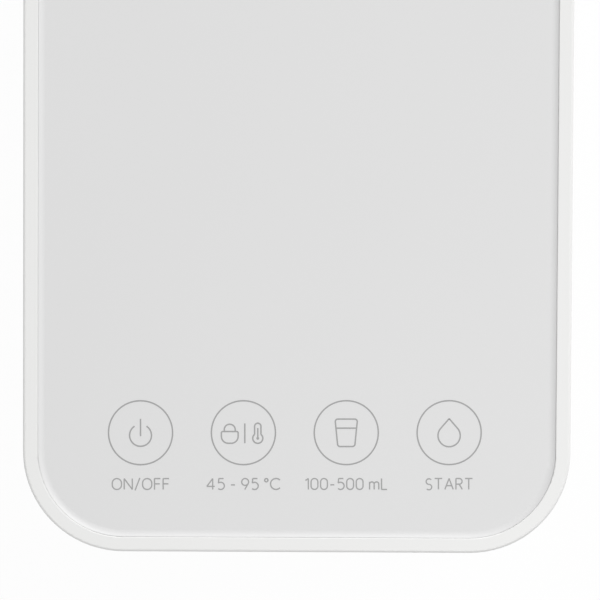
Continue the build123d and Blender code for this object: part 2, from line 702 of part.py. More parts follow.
def top_plate():
    """The grey touch panel: flat, turned up all round in a small hollow curve to meet the frame."""
    edge = RIM_WIDTH + PLATE_SEAM
    plate = slab(front_plan(edge, PLATE_CORNER), LEDGE_Z, BODY_HEIGHT - PLATE_DROP)
    beyond = PLATE_HOLLOW - sqrt(PLATE_RISE * (2 * PLATE_HOLLOW - PLATE_RISE))
    dish = slab(front_plan(edge - beyond, PLATE_CORNER + beyond), PLATE_Z, BODY_HEIGHT + PLATE_HOLLOW)
    plate -= fillet(dish.edges().group_by(Axis.Z)[0], PLATE_HOLLOW)
    for centre in stake_places():
        plate += post(STAKE_RADIUS, centre, TOUCH_BOARD_Z, LEDGE_Z)
        plate += post(STAKE_PIN_RADIUS, centre, TOUCH_BOARD_Z - STAKE_PIN_LENGTH, TOUCH_BOARD_Z)
    return plate


def touch_board():
    """The circuit board with the touch pads, staked to the underside of the panel."""
    y_span = (FRONT + TOUCH_BOARD_SETBACK, FRONT + TOUCH_BOARD_SETBACK + TOUCH_BOARD_LENGTH)
    z_span = (TOUCH_BOARD_Z - BOARD_THICKNESS, TOUCH_BOARD_Z)
    board = block(about(0, BODY_WIDTH - 2 * TOUCH_BOARD_MARGIN), y_span, z_span)
    for centre in stake_places():
        board -= post(STAKE_PIN_RADIUS + SCREW_FIT, centre, z_span[0] - CUT, z_span[1] + CUT)
    return board


def touch_springs():
    """One contact spring under each icon, between board and panel."""
    inner = TOUCH_SPRING_RADIUS - TOUCH_SPRING_WALL
    places = [((index - (ICON_COUNT - 1) / 2) * ICON_PITCH, ICON_Y) for index in range(ICON_COUNT)]
    return group(ring(TOUCH_SPRING_RADIUS, inner, place, TOUCH_BOARD_Z, LEDGE_Z) for place in places)


def display_module():
    """The lamp box under the panel, on the touch board; its figures show through when lit."""
    y_span = about(ICON_Y + DISPLAY_OFFSET, DISPLAY_LENGTH)
    return block(about(0, DISPLAY_WIDTH), y_span, (TOUCH_BOARD_Z, TOUCH_BOARD_Z + DISPLAY_HEIGHT))


def spout_shroud():
    """The collar round the outlet, dropped in from inside the head."""
    centre = (0, SPOUT_Y)
    shroud = post(SHROUD_RADIUS, centre, SHROUD_BOTTOM, CHAMBER_Z)
    shroud = fillet(shroud.edges().group_by(Axis.Z)[0], SHROUD_ROUND)
    shroud += post(SHROUD_RADIUS + SHROUD_FLANGE, centre, HEAD_FLOOR, CHAMBER_Z)
    shroud -= post(SHROUD_RADIUS - SHROUD_WALL, centre, SHROUD_BOTTOM + SHROUD_WALL, CHAMBER_Z + CUT)
    return shroud - post(NOZZLE_RADIUS + FIT, centre, SHROUD_BOTTOM - CUT, CHAMBER_Z)


def spout_nozzle():
    """The soft outlet tip that hangs in the shroud by its flange."""
    centre = (0, SPOUT_Y)
    bottom, seat = SHROUD_BOTTOM - NOZZLE_DROP, SHROUD_BOTTOM + SHROUD_WALL
    nozzle = post(NOZZLE_RADIUS, centre, bottom, bottom + NOZZLE_HEIGHT)
    nozzle = fillet(nozzle.edges().group_by(Axis.Z)[0], NOZZLE_ROUND)
    nozzle += post(NOZZLE_RADIUS + NOZZLE_FLANGE, centre, seat, seat + NOZZLE_FLANGE_THICKNESS)
    return nozzle - post(NOZZLE_BORE, centre, bottom - CUT, bottom + NOZZLE_HEIGHT + CUT)


def outlet_chamber():
    """The steam and water separator above the nozzle."""
    centre, top = (0, SPOUT_Y), CHAMBER_Z + CHAMBER_HEIGHT
    ear_z, back = CHAMBER_Z + CHAMBER_EAR_LIFT, SPOUT_Y + CHAMBER_RADIUS
    chamber = post(CHAMBER_RADIUS, centre, CHAMBER_Z, top)
    ear_half = CHAMBER_EAR_REACH + BOSS_RADIUS
    ear_y = about(SPOUT_Y, 2 * BOSS_RADIUS)
    chamber += block((-ear_half, ear_half), ear_y, (ear_z, ear_z + CHAMBER_EAR_THICKNESS))
    chamber += post(CHAMBER_SPIGOT_RADIUS, centre, CHAMBER_Z - CHAMBER_SPIGOT_DROP, CHAMBER_Z)
    chamber += post(CHAMBER_VENT_RADIUS, centre, top, top + CHAMBER_VENT_HEIGHT)
    chamber += bar(SPIGOT_RADIUS, (0, SPOUT_Y, OUTLET_Z), (0, back + SPIGOT_LENGTH, OUTLET_Z))
    inner = CHAMBER_RADIUS - CHAMBER_WALL
    chamber -= post(inner, centre, CHAMBER_Z + CHAMBER_WALL, top - CHAMBER_WALL)
    chamber -= post(CHAMBER_SPIGOT_BORE, centre, CHAMBER_Z - CHAMBER_SPIGOT_DROP - CUT, OUTLET_Z)
    chamber -= post(CHAMBER_VENT_BORE, centre, OUTLET_Z, top + CHAMBER_VENT_HEIGHT + CUT)
    chamber -= bar(SPIGOT_BORE, (0, SPOUT_Y, OUTLET_Z), (0, back + SPIGOT_LENGTH + CUT, OUTLET_Z))
    for x in mirrored_x(CHAMBER_EAR_REACH):
        chamber -= post(SHANK_RADIUS + SCREW_FIT, (x, SPOUT_Y), ear_z - CUT, top)
    return chamber


def chamber_screws():
    """The two screws through the chamber's ears."""
    top = CHAMBER_Z + CHAMBER_EAR_LIFT + CHAMBER_EAR_THICKNESS + SCREW_HEAD_HEIGHT
    places = [(x, SPOUT_Y, top) for x in mirrored_x(CHAMBER_EAR_REACH)]
    return group(screw(place, (0, 0, -1), SCREW_HEAD_HEIGHT) for place in places)


def rod_places():
    """Centres of the heater's tie rods, with one rod on the far side from the inlet."""
    places = []
    for index in range(ROD_COUNT):
        angle = radians(180 + index * 360 / ROD_COUNT)
        places.append((HEATER_X + ROD_CIRCLE * cos(angle), HEATER_Y + ROD_CIRCLE * sin(angle)))
    return places


def heater_tube():
    """The steel tube that the water is heated in."""
    centre = (HEATER_X, HEATER_Y)
    inner = HEATER_RADIUS - HEATER_WALL
    return ring(HEATER_RADIUS, inner, centre, HEATER_TUBE_Z, HEATER_TUBE_TOP)


def heater_cap(bottom, socket_up):
    """A cap with its chamber, socket and rod holes, but no ports."""
    centre, top = (HEATER_X, HEATER_Y), bottom + CAP_HEIGHT
    cap = post(CAP_RADIUS, centre, bottom, top)
    if socket_up:
        cap -= post(CAP_CHAMBER_RADIUS, centre, bottom + CAP_FLOOR, top)
        cap -= post(HEATER_RADIUS + FIT, centre, top - CAP_SOCKET, top + CUT)
    else:
        cap -= post(CAP_CHAMBER_RADIUS, centre, bottom, top - CAP_FLOOR)
        cap -= post(HEATER_RADIUS + FIT, centre, bottom - CUT, bottom + CAP_SOCKET)
    for place in rod_places():
        cap -= post(ROD_RADIUS + SCREW_FIT, place, bottom - CUT, top + CUT)
    return cap


def heater_lower_cap():
    """The inlet cap, with its spigot towards the pump."""
    wall_x, end_x = HEATER_X + CAP_RADIUS, HEATER_X + CAP_RADIUS + SPIGOT_LENGTH

    def inlet(radius, start, end):
        return bar(radius, (start, HEATER_Y, HEATER_PORT_Z), (end, HEATER_Y, HEATER_PORT_Z))

    cap = heater_cap(HEATER_LEVEL, True) + inlet(SPIGOT_RADIUS, wall_x - HEATER_SEAL, end_x)
    return cap - inlet(SPIGOT_BORE, HEATER_X, end_x + CUT)


def heater_upper_cap():
    """The outlet cap, with an upright spigot and the hole for the probe."""
    centre, probe = (HEATER_X, HEATER_Y), (HEATER_X, HEATER_Y - PROBE_OFFSET)
    cap = heater_cap(UPPER_CAP_TOP - CAP_HEIGHT, False)
    cap += post(SPIGOT_RADIUS, centre, UPPER_CAP_TOP, UPPER_CAP_TOP + SPIGOT_LENGTH)
    cap -= post(SPIGOT_BORE, centre, UPPER_CAP_TOP - CAP_FLOOR - CUT, UPPER_CAP_TOP + SPIGOT_LENGTH + CUT)
    return cap - post(PROBE_RADIUS + SCREW_FIT, probe, UPPER_CAP_TOP - CAP_FLOOR - CUT, UPPER_CAP_TOP + CUT)


def heater_seals():
    """Flat gaskets between the tube ends and the caps."""
    centre = (HEATER_X, HEATER_Y)
    levels = (HEATER_TUBE_Z - HEATER_SEAL, HEATER_TUBE_TOP)
    return group(
        ring(HEATER_RADIUS, CAP_CHAMBER_RADIUS, centre, level, level + HEATER_SEAL) for level in levels
    )


def heater_tie_rods():
    """The rods that pull the two caps onto the tube."""
    rods = []
    for place in rod_places():
        rod = post(ROD_RADIUS, place, HEATER_LEVEL - ROD_HEAD_HEIGHT, UPPER_CAP_TOP + ROD_HEAD_HEIGHT)
        rod += post(ROD_HEAD_RADIUS, place, HEATER_LEVEL - ROD_HEAD_HEIGHT, HEATER_LEVEL)
        rods.append(rod + post(ROD_HEAD_RADIUS, place, UPPER_CAP_TOP, UPPER_CAP_TOP + ROD_HEAD_HEIGHT))
    return group(rods)


def heater_stand():
    """The folded bracket that carries the heater above the base plate."""
    top = HEATER_LEVEL - ROD_HEAD_HEIGHT
    deck = (top - STAND_THICKNESS, top)
    stand = block(about(HEATER_X, STAND_WIDTH), about(HEATER_Y, STAND_WIDTH), deck)
    for side in mirrored_x((STAND_WIDTH - STAND_THICKNESS) / 2):
        leg = about(HEATER_X + side, STAND_THICKNESS)
        stand += block(leg, about(HEATER_Y, STAND_LEG_WIDTH), (BASE_TOP, top))
    return stand


def thermal_cutouts():
    """Two bimetal cutouts, each on a sprung band round the heater tube."""
    centre, cutouts = (HEATER_X, HEATER_Y), []
    lower_cap_top, upper_cap_bottom = HEATER_LEVEL + CAP_HEIGHT, UPPER_CAP_TOP - CAP_HEIGHT
    for z in (lower_cap_top + CUTOUT_INSET, upper_cap_bottom - CUTOUT_INSET):
        low, high = about(z, CUTOUT_BAND_HEIGHT)
        cutout = post(HEATER_RADIUS + SCREW_FIT + CUTOUT_BAND_WALL, centre, low, high)
        saddle_x = (HEATER_X, HEATER_X + CUTOUT_REACH)
        cutout += block(saddle_x, about(HEATER_Y, CUTOUT_SADDLE), about(z, CUTOUT_BAND_HEIGHT))
        face, end = HEATER_X + CUTOUT_REACH, HEATER_X + CUTOUT_REACH + CUTOUT_LENGTH
        cutout += bar(CUTOUT_RADIUS, (face, HEATER_Y, z), (end, HEATER_Y, z))
        cutouts.append(cutout - post(HEATER_RADIUS + SCREW_FIT, centre, low - CUT, high + CUT))
    return group(cutouts)


def outlet_probe():
    """The temperature probe in the outlet cap."""
    place = (HEATER_X, HEATER_Y - PROBE_OFFSET)
    probe = post(PROBE_RADIUS, place, UPPER_CAP_TOP - PROBE_DEPTH, UPPER_CAP_TOP)
    return probe + post(PROBE_HEAD_RADIUS, place, UPPER_CAP_TOP, UPPER_CAP_TOP + PROBE_HEAD_HEIGHT)


def pump_bar(radius, front, back):
    """A round bar on the axis that pump and flow meter share."""
    return bar(radius, (PUMP_X, front, PUMP_Z), (PUMP_X, back, PUMP_Z))


def pump_housing():
    """The closed cup round the pump's windings."""
    housing = pump_bar(PUMP_RADIUS, PUMP_FRONT, CAN_Y)
    return housing - pump_bar(PUMP_RADIUS - PUMP_WALL, PUMP_FRONT + PUMP_WALL, CAN_Y + CUT)


def pump_stator():
    """The ring of windings."""
    front = PUMP_FRONT + PUMP_WALL
    stator = pump_bar(PUMP_RADIUS - PUMP_WALL - FIT, front, front + STATOR_LENGTH)
    return stator - pump_bar(STATOR_BORE, front - CUT, front + STATOR_LENGTH + CUT)


def pump_can():
    """The wall between windings and water, with the rotor's fixed shaft moulded in."""
    end = CAN_Y - CAN_DEPTH
    boss = end + CAN_END + CAN_BOSS_LENGTH
    can = pump_bar(CAN_RADIUS, end, VOLUTE_Y) + pump_bar(PUMP_RADIUS, CAN_Y, VOLUTE_Y)
    can -= pump_bar(CAN_RADIUS - CAN_WALL, end + CAN_END, VOLUTE_Y + CUT)
    can += pump_bar(CAN_BOSS_RADIUS, end + CAN_END, boss)
    return can + pump_bar(PUMP_SHAFT_RADIUS, end + CAN_END, VOLUTE_Y + VOLUTE_DEPTH - FIT)


def pump_rotor():
    """The magnet and impeller that turn on the fixed shaft."""
    front = CAN_Y - CAN_DEPTH + CAN_END + CAN_BOSS_LENGTH + FIT
    disc = VOLUTE_Y + FIT + CUT
    tip = disc + IMPELLER_DISC + VANE_HEIGHT
    rotor = pump_bar(MAGNET_RADIUS, front, CAN_Y) + pump_bar(IMPELLER_HUB_RADIUS, front, tip)
    rotor += pump_bar(IMPELLER_RADIUS, disc, disc + IMPELLER_DISC)
    for index in range(VANE_COUNT):
        vane = block((0, IMPELLER_RADIUS - FIT), (disc + CUT, tip), about(0, VANE_THICKNESS))
        rotor += Pos(PUMP_X, 0, PUMP_Z) * Rot(0, index * 360 / VANE_COUNT, 0) * vane
    return rotor - pump_bar(PUMP_SHAFT_RADIUS + RUNNING_FIT, front - CUT, tip + CUT)


def pump_volute():
    """The pump's water end, with the inlet on its axis and the outlet upwards."""
    outlet_x, top = PUMP_X + PUMP_OUTLET_OFFSET, PUMP_Z + PUMP_OUTLET_RISE
    volute = pump_bar(PUMP_RADIUS, VOLUTE_Y, VOLUTE_END)
    volute += pump_bar(SPIGOT_RADIUS, VOLUTE_END, VOLUTE_END + SPIGOT_LENGTH)
    volute += post(SPIGOT_RADIUS, (outlet_x, PUMP_OUTLET_Y), PUMP_Z, top)
    volute -= pump_bar(VOLUTE_BORE, VOLUTE_Y - CUT, VOLUTE_Y + VOLUTE_DEPTH)
    volute -= pump_bar(SPIGOT_BORE, VOLUTE_Y, VOLUTE_END + SPIGOT_LENGTH + CUT)
    return volute - post(SPIGOT_BORE, (outlet_x, PUMP_OUTLET_Y), PUMP_Z, top + CUT)


def pump_cradle():
    """The soft block that the pump lies in."""
    y_span = about((PUMP_FRONT + CAN_Y) / 2, CRADLE_LENGTH)
    cradle = block(about(PUMP_X, CRADLE_WIDTH), y_span, (BASE_TOP, PUMP_Z - CRADLE_DROP))
    return cradle - pump_bar(PUMP_RADIUS + SCREW_FIT, PUMP_FRONT, CAN_Y)


def meter_bridge(front):
    """The bar across the flow meter that one end of the turbine turns in."""
    back = front + METER_BRIDGE_DEPTH
    across = block(about(PUMP_X, 2 * METER_BORE), (front, back), about(PUMP_Z, METER_BRIDGE))
    across &= pump_bar(METER_BORE, front, back)
    return across - pump_bar(METER_AXLE_RADIUS + RUNNING_FIT, front - CUT, back + CUT)


def meter_rear_bridge():
    """Where the bridge in the flow meter's cap starts."""
    return METER_FRONT + METER_WALL + METER_BRIDGE_DEPTH + TURBINE_LENGTH + 2 * CUT


def flow_meter_body():
    """The flow meter's cup, on a foot that stands on the base plate."""
    room = METER_FRONT + METER_WALL
    body = pump_bar(METER_RADIUS, METER_FRONT, METER_REAR)
    y_span = about((METER_FRONT + METER_REAR) / 2, METER_FOOT_LENGTH)
    body += block(about(PUMP_X, METER_FOOT_WIDTH), y_span, (BASE_TOP, PUMP_Z))
    body += pump_bar(SPIGOT_RADIUS, METER_FRONT - SPIGOT_LENGTH, METER_FRONT)
    body -= pump_bar(METER_BORE, room, METER_REAR + CUT)
    body -= pump_bar(SPIGOT_BORE, METER_FRONT - SPIGOT_LENGTH - CUT, room + CUT)
    return body + meter_bridge(room)


def flow_meter_cap():
    """The flow meter's lid, with the outlet spigot."""
    cap = pump_bar(METER_RADIUS, METER_REAR, METER_END)
    cap += pump_bar(SPIGOT_RADIUS, METER_END, METER_END + SPIGOT_LENGTH)
    plug = METER_BORE - FIT
    cap += pump_bar(plug, meter_rear_bridge(), METER_REAR)
    cap -= pump_bar(plug - METER_PLUG_WALL, meter_rear_bridge() - CUT, METER_REAR)
    cap -= pump_bar(SPIGOT_BORE, METER_REAR - CUT, METER_END + SPIGOT_LENGTH + CUT)
    return cap + (meter_bridge(meter_rear_bridge()) & pump_bar(plug, METER_FRONT, METER_REAR))


def flow_rotor():
    """The turbine that the water turns."""
    front = METER_FRONT + METER_WALL + METER_BRIDGE_DEPTH + CUT
    back = front + TURBINE_LENGTH
    axle_front = METER_FRONT + METER_WALL + FIT
    rotor = pump_bar(METER_AXLE_RADIUS, axle_front, meter_rear_bridge() + METER_BRIDGE_DEPTH - FIT)
    rotor += pump_bar(TURBINE_HUB_RADIUS, front, back)
    for index in range(TURBINE_BLADES):
        blade = block((0, TURBINE_RADIUS), (front, back), about(0, TURBINE_BLADE_THICKNESS))
        rotor += Pos(PUMP_X, 0, PUMP_Z) * Rot(0, index * 360 / TURBINE_BLADES, 0) * blade
    return rotor


def dock_hose():
    """From the tank seat to the flow meter."""
    start = METER_END + SPIGOT_LENGTH - HOSE_GRIP
    end_x = DOCK_RADIUS + SPIGOT_LENGTH - HOSE_GRIP
    points = [(PUMP_X, start, PUMP_Z), (PUMP_X, DOCK_Y, PUMP_Z), (end_x, DOCK_Y, PUMP_Z)]
    return hose(points, [DOCK_HOSE_BEND])


def pump_inlet_hose():
    """The short sleeve from the flow meter to the pump."""
    front = VOLUTE_END + SPIGOT_LENGTH - HOSE_GRIP
    back = METER_FRONT - SPIGOT_LENGTH + HOSE_GRIP
    return pump_bar(HOSE_OUTER, front, back) - pump_bar(HOSE_INNER, front - CUT, back + CUT)


def riser_hose():
    """From the pump up and across to the heater's inlet."""
    x, rise = PUMP_X + PUMP_OUTLET_OFFSET, PUMP_Z + PUMP_OUTLET_RISE
    end_x = HEATER_X + CAP_RADIUS + SPIGOT_LENGTH
    points = [
        (x, PUMP_OUTLET_Y, rise - HOSE_GRIP),
        (x, PUMP_OUTLET_Y, HEATER_PORT_Z),
        (end_x + HOSE_GRIP, HEATER_Y, HEATER_PORT_Z),
        (end_x - HOSE_GRIP, HEATER_Y, HEATER_PORT_Z),
    ]
    return hose(points, [RISER_BEND, RISER_SWEEP])


def outlet_hose():
    """From the heater's outlet up, forward and into the chamber."""
    port = SPOUT_Y + CHAMBER_RADIUS + SPIGOT_LENGTH
    points = [
        (HEATER_X, HEATER_Y, UPPER_CAP_TOP + SPIGOT_LENGTH - HOSE_GRIP),
        (HEATER_X, HEATER_Y, OUTLET_Z),
        (0, port + 2 * HOSE_GRIP, OUTLET_Z),
        (0, port - HOSE_GRIP, OUTLET_Z),
    ]
    return hose(points, [OUTLET_BEND, OUTLET_SWEEP])


def power_board():
    """The mains and control board on its posts in the column."""
    x_span = (POWER_BOARD_LEFT, POWER_BOARD_RIGHT)
    return block(x_span, (POWER_BOARD_Y, POWER_FACE_Y), (POWER_BOARD_LEVEL, POWER_BOARD_TOP))


def on_board(size, x, z):
    """A block on the face of the power board."""
    width, depth, height = size
    return block(about(x, width), (POWER_FACE_Y, POWER_FACE_Y + depth), about(z, height))


def power_board_parts():
    """The transformer and the relay above the heat sink, and the capacitors above those."""
    row = POWER_BOARD_LEVEL + POWER_POST_INSET + HEAT_SINK_SIZE[2] + POWER_PART_GAP
    row_top = row + max(TRANSFORMER_SIZE[2], RELAY_SIZE[2])
    transformer_x = POWER_BOARD_LEFT + POWER_PART_MARGIN + TRANSFORMER_SIZE[0] / 2
    relay_x = POWER_BOARD_RIGHT - POWER_PART_MARGIN - RELAY_SIZE[0] / 2
    transformer = on_board(TRANSFORMER_SIZE, transformer_x, row + TRANSFORMER_SIZE[2] / 2)
    parts = [transformer, on_board(RELAY_SIZE, relay_x, row + RELAY_SIZE[2] / 2)]
    middle, z = (POWER_BOARD_LEFT + POWER_BOARD_RIGHT) / 2, row_top + POWER_PART_GAP + CAPACITOR_RADIUS
    for index in range(CAPACITOR_COUNT):
        x = middle + (index - (CAPACITOR_COUNT - 1) / 2) * CAPACITOR_PITCH
        parts.append(bar(CAPACITOR_RADIUS, (x, POWER_FACE_Y, z), (x, POWER_FACE_Y + CAPACITOR_LENGTH, z)))
    return group(parts)


def heat_sink():
    """The finned block on the switching device."""
    width, depth, height = HEAT_SINK_SIZE
    x = (POWER_BOARD_LEFT + POWER_BOARD_RIGHT) / 2
    z = POWER_BOARD_LEVEL + POWER_POST_INSET + height / 2
    sink = on_board((width, HEAT_SINK_BACK, height), x, z)
    pitch = (width - HEAT_SINK_FIN) / (HEAT_SINK_FINS - 1)
    for index in range(HEAT_SINK_FINS):
        sink += on_board((HEAT_SINK_FIN, depth, height), x + (index - (HEAT_SINK_FINS - 1) / 2) * pitch, z)
    return sink


def reed_sensor():
    """The switch on the rear cover that the float in the tank works."""
    width, depth, height = SENSOR_SIZE
    y = SPLIT_Y - COVER_THICKNESS
    return block(about(FLOAT_X, width), (y - depth, y), (SENSOR_LEVEL, SENSOR_LEVEL + height))


def cord_gland():
    """The bush that the mains lead enters through, slid up into a slot in the back of the plinth."""
    wall = REAR - WALL
    flange = wall - GLAND_FLANGE_THICKNESS

    def piece(radius, front, back):
        return bar(radius, (GLAND_X, front, GLAND_Z), (GLAND_X, back, GLAND_Z))

    gland = piece(GLAND_RADIUS, flange - GLAND_TAIL, REAR - FIT) + piece(GLAND_FLANGE_RADIUS, flange, wall)
    gland += gland_slot(GLAND_RADIUS, BASE_TOP + FIT, wall, REAR - FIT)
    return gland - piece(GLAND_BORE, flange - GLAND_TAIL - CUT, REAR)


def tank_dock():
    """The cup under the tank that takes the tank's valve, with the pin that opens it."""
    centre = (0, DOCK_Y)
    floor, shoulder = DOCK_BOTTOM + DOCK_FLOOR, DECK_HEIGHT - DOCK_SEAL_LEVEL
    under_deck = DECK_HEIGHT - WALL - FIT
    dock = post(DOCK_RADIUS, centre, DOCK_BOTTOM, DECK_HEIGHT - FIT)
    dock += post(DOCK_RADIUS + DOCK_FLANGE, centre, under_deck - DOCK_FLANGE_THICKNESS, under_deck)
    dock += post(DOCK_PEDESTAL_RADIUS, centre, BASE_TOP, DOCK_BOTTOM)
    dock += bar(SPIGOT_RADIUS, (0, DOCK_Y, PUMP_Z), (DOCK_RADIUS + SPIGOT_LENGTH, DOCK_Y, PUMP_Z))
    dock -= post(DOCK_BORE, centre, floor, DECK_HEIGHT)
    dock -= post(DOCK_MOUTH, centre, shoulder, DECK_HEIGHT)
    dock -= bar(SPIGOT_BORE, (0, DOCK_Y, PUMP_Z), (DOCK_RADIUS + SPIGOT_LENGTH + CUT, DOCK_Y, PUMP_Z))
    return dock + post(DOCK_PIN_RADIUS, centre, floor, DECK_HEIGHT - DOCK_PIN_TOP)


def dock_seal():
    """The ring in the dock that closes round the valve's neck."""
    shoulder = DECK_HEIGHT - DOCK_SEAL_LEVEL
    return ring(DOCK_MOUTH - SCREW_FIT, DOCK_SEAL_BORE, (0, DOCK_Y), shoulder, shoulder + DOCK_SEAL_HEIGHT)


def tank_shell():
    """The clear water tank, open at the top, with a hole in its floor for the valve."""
    shell = slab(rear_plan(0), DECK_HEIGHT, BAND_Z)
    shell = chamfer(shell.edges().group_by(Axis.Z)[0], SEAM_CHAMFER)
    shell = chamfer(shell.edges().group_by(Axis.Z)[-1], SEAM_CHAMFER)
    shell -= slab(rear_plan(WALL), TANK_INNER_Z, BAND_Z + CUT)
    return shell - post(VALVE_NECK_RADIUS + SCREW_FIT, (0, DOCK_Y), DECK_HEIGHT - CUT, TANK_INNER_Z + CUT)


def valve_body():
    """The tank's valve seat, put in from above and drawn down by a nut."""
    centre, bottom = (0, DOCK_Y), DECK_HEIGHT - VALVE_NECK_DROP
    body = post(VALVE_NECK_RADIUS, centre, bottom, TANK_INNER_Z)
    body += post(VALVE_FLANGE_RADIUS, centre, TANK_INNER_Z, CAGE_Z)
    body -= post(VALVE_BORE, centre, VALVE_SEAT_Z, CAGE_Z + CUT)
    body -= post(VALVE_BORE, centre, bottom - CUT, VALVE_SEAT_Z - VALVE_SEAT_THICKNESS)
    return body - post(VALVE_SEAT_BORE, centre, bottom, CAGE_Z)


def valve_nut():
    """The nut under the tank floor."""
    inner = VALVE_NECK_RADIUS + SCREW_FIT
    return ring(NUT_RADIUS, inner, (0, DOCK_Y), DECK_HEIGHT - NUT_HEIGHT, DECK_HEIGHT)


def valve_plunger():
    """The valve disc with its stem and soft pad, held open by the dock's pin."""
    centre = (0, DOCK_Y)
    top = VALVE_DISC_Z + VALVE_DISC_THICKNESS
    plunger = post(VALVE_STEM_RADIUS, centre, DECK_HEIGHT - DOCK_PIN_TOP, top + VALVE_STEM_RISE)
    return plunger + post(VALVE_DISC_RADIUS, centre, VALVE_DISC_Z - VALVE_PAD, top)


def valve_spring():
    """The spring that shuts the valve when the tank is lifted, drawn as the sleeve that it fills."""
    bottom = VALVE_DISC_Z + VALVE_DISC_THICKNESS
    return ring(SPRING_RADIUS, SPRING_RADIUS - SPRING_WIRE, (0, DOCK_Y), bottom, CAGE_ROOF_Z)


def valve_cage():
    """The windowed cap over the valve that guides the stem."""
    centre, top = (0, DOCK_Y), CAGE_ROOF_Z + CAGE_ROOF
    cage = post(VALVE_FLANGE_RADIUS, centre, CAGE_Z, CAGE_Z + CAGE_FLANGE)
    cage += post(CAGE_RADIUS, centre, CAGE_Z, top)
    cage -= post(CAGE_RADIUS - CAGE_WALL, centre, CAGE_Z - CUT, CAGE_ROOF_Z)
    window = (CAGE_Z + CAGE_FLANGE, CAGE_Z + CAGE_FLANGE + CAGE_WINDOW_HEIGHT)
    reach = 2 * CAGE_RADIUS + 2 * CUT
    cage -= block(about(0, CAGE_WINDOW_WIDTH), about(DOCK_Y, reach), window)
    cage -= block(about(0, reach), about(DOCK_Y, CAGE_WINDOW_WIDTH), window)
    return cage - post(VALVE_STEM_RADIUS + FIT, centre, CAGE_ROOF_Z - CUT, top + CUT)


def float_rod():
    """The rod on the tank floor that the float rides on, with a stop at the top."""
    centre, base_top = (FLOAT_X, FLOAT_Y), TANK_INNER_Z + FLOAT_BASE_THICKNESS
    top = base_top + FLOAT_ROD_HEIGHT
    rod = post(FLOAT_BASE_RADIUS, centre, TANK_INNER_Z, base_top)
    rod += post(FLOAT_ROD_RADIUS, centre, TANK_INNER_Z, top)
    return rod + post(FLOAT_KNOB_RADIUS, centre, top - FLOAT_KNOB_THICKNESS, top)


def tank_float():
    """The ring that rises with the water and carries the sensor's magnet."""
    centre = (FLOAT_X, FLOAT_Y)
    body = post(FLOAT_RADIUS, centre, FLOAT_Z, FLOAT_Z + FLOAT_HEIGHT)
    body = fillet(body.edges().filter_by(GeomType.CIRCLE), FLOAT_ROUND)
    return body - post(FLOAT_ROD_RADIUS + FIT, centre, FLOAT_Z - CUT, FLOAT_Z + FLOAT_HEIGHT + CUT)


def cover_block(half_width, front, back, bottom):
    """A block in the tank cover that reaches up to the top."""
    return block((-half_width, half_width), (front, back), (bottom, BODY_HEIGHT))


def cover_top():
    """The tank cover's outer form, stepped down round the front and sides for the handle."""
    cover = slab(rear_plan(0), BAND_Z, BODY_HEIGHT)
    cover = fillet(cover.edges().group_by(Axis.Z)[-1], RIM_ROUND)
    cover = chamfer(cover.edges().group_by(Axis.Z)[0], SEAM_CHAMFER)
    end = PIVOT_Y + HANDLE_HEIGHT / 2 + HANDLE_GAP
    around = slab(strip(TANK_FRONT - CUT, end), HANDLE_FLOOR, BODY_HEIGHT + CUT)
    return cover - (around - slab(rear_plan(HANDLE_INNER), HANDLE_FLOOR - CUT, BODY_HEIGHT + 2 * CUT))


def cover_skirt():
    """The wall that drops into the tank, grooved for the seal."""
    outer, inner = WALL + SKIRT_GAP, WALL + SKIRT_GAP + SKIRT_WALL
    skirt = slab(rear_plan(outer), BAND_Z - SKIRT_DEPTH, BAND_Z + SKIRT_ROOT)
    skirt += slab(rear_plan(WALL / 2), BAND_Z, BAND_Z + SKIRT_ROOT)
    seal_top = BAND_Z - SEAL_DROP
    groove = slab(rear_plan(WALL), seal_top - SEAL_HEIGHT - SCREW_FIT, seal_top)
    skirt -= groove - slab(rear_plan(outer + SEAL_GROOVE), BAND_Z - SKIRT_DEPTH, BAND_Z)
    return skirt - slab(rear_plan(inner), BAND_Z - SKIRT_DEPTH - CUT, BAND_Z + SKIRT_ROOT + CUT)


def pivot_bar(radius, start, end):
    """A round bar on the handle's axis."""
    return bar(radius, (start, PIVOT_Y, PIVOT_Z), (end, PIVOT_Y, PIVOT_Z))


def hinge_bar(radius, half):
    """A round bar on the fill flap's axis."""
    return bar(radius, (-half, HINGE_Y, HINGE_Z), (half, HINGE_Y, HINGE_Z))


def flap_plan(gap, back):
    """The outline of the fill flap up to a back line, widened by a gap."""
    front, width = FLAP_FRONT - gap, FLAP_WIDTH + 2 * gap
    outline = Pos(0, (front + back) / 2) * Rectangle(width, back - front)
    return fillet(outline.vertices().sort_by(Axis.Y)[:2], FLAP_CORNER + gap)


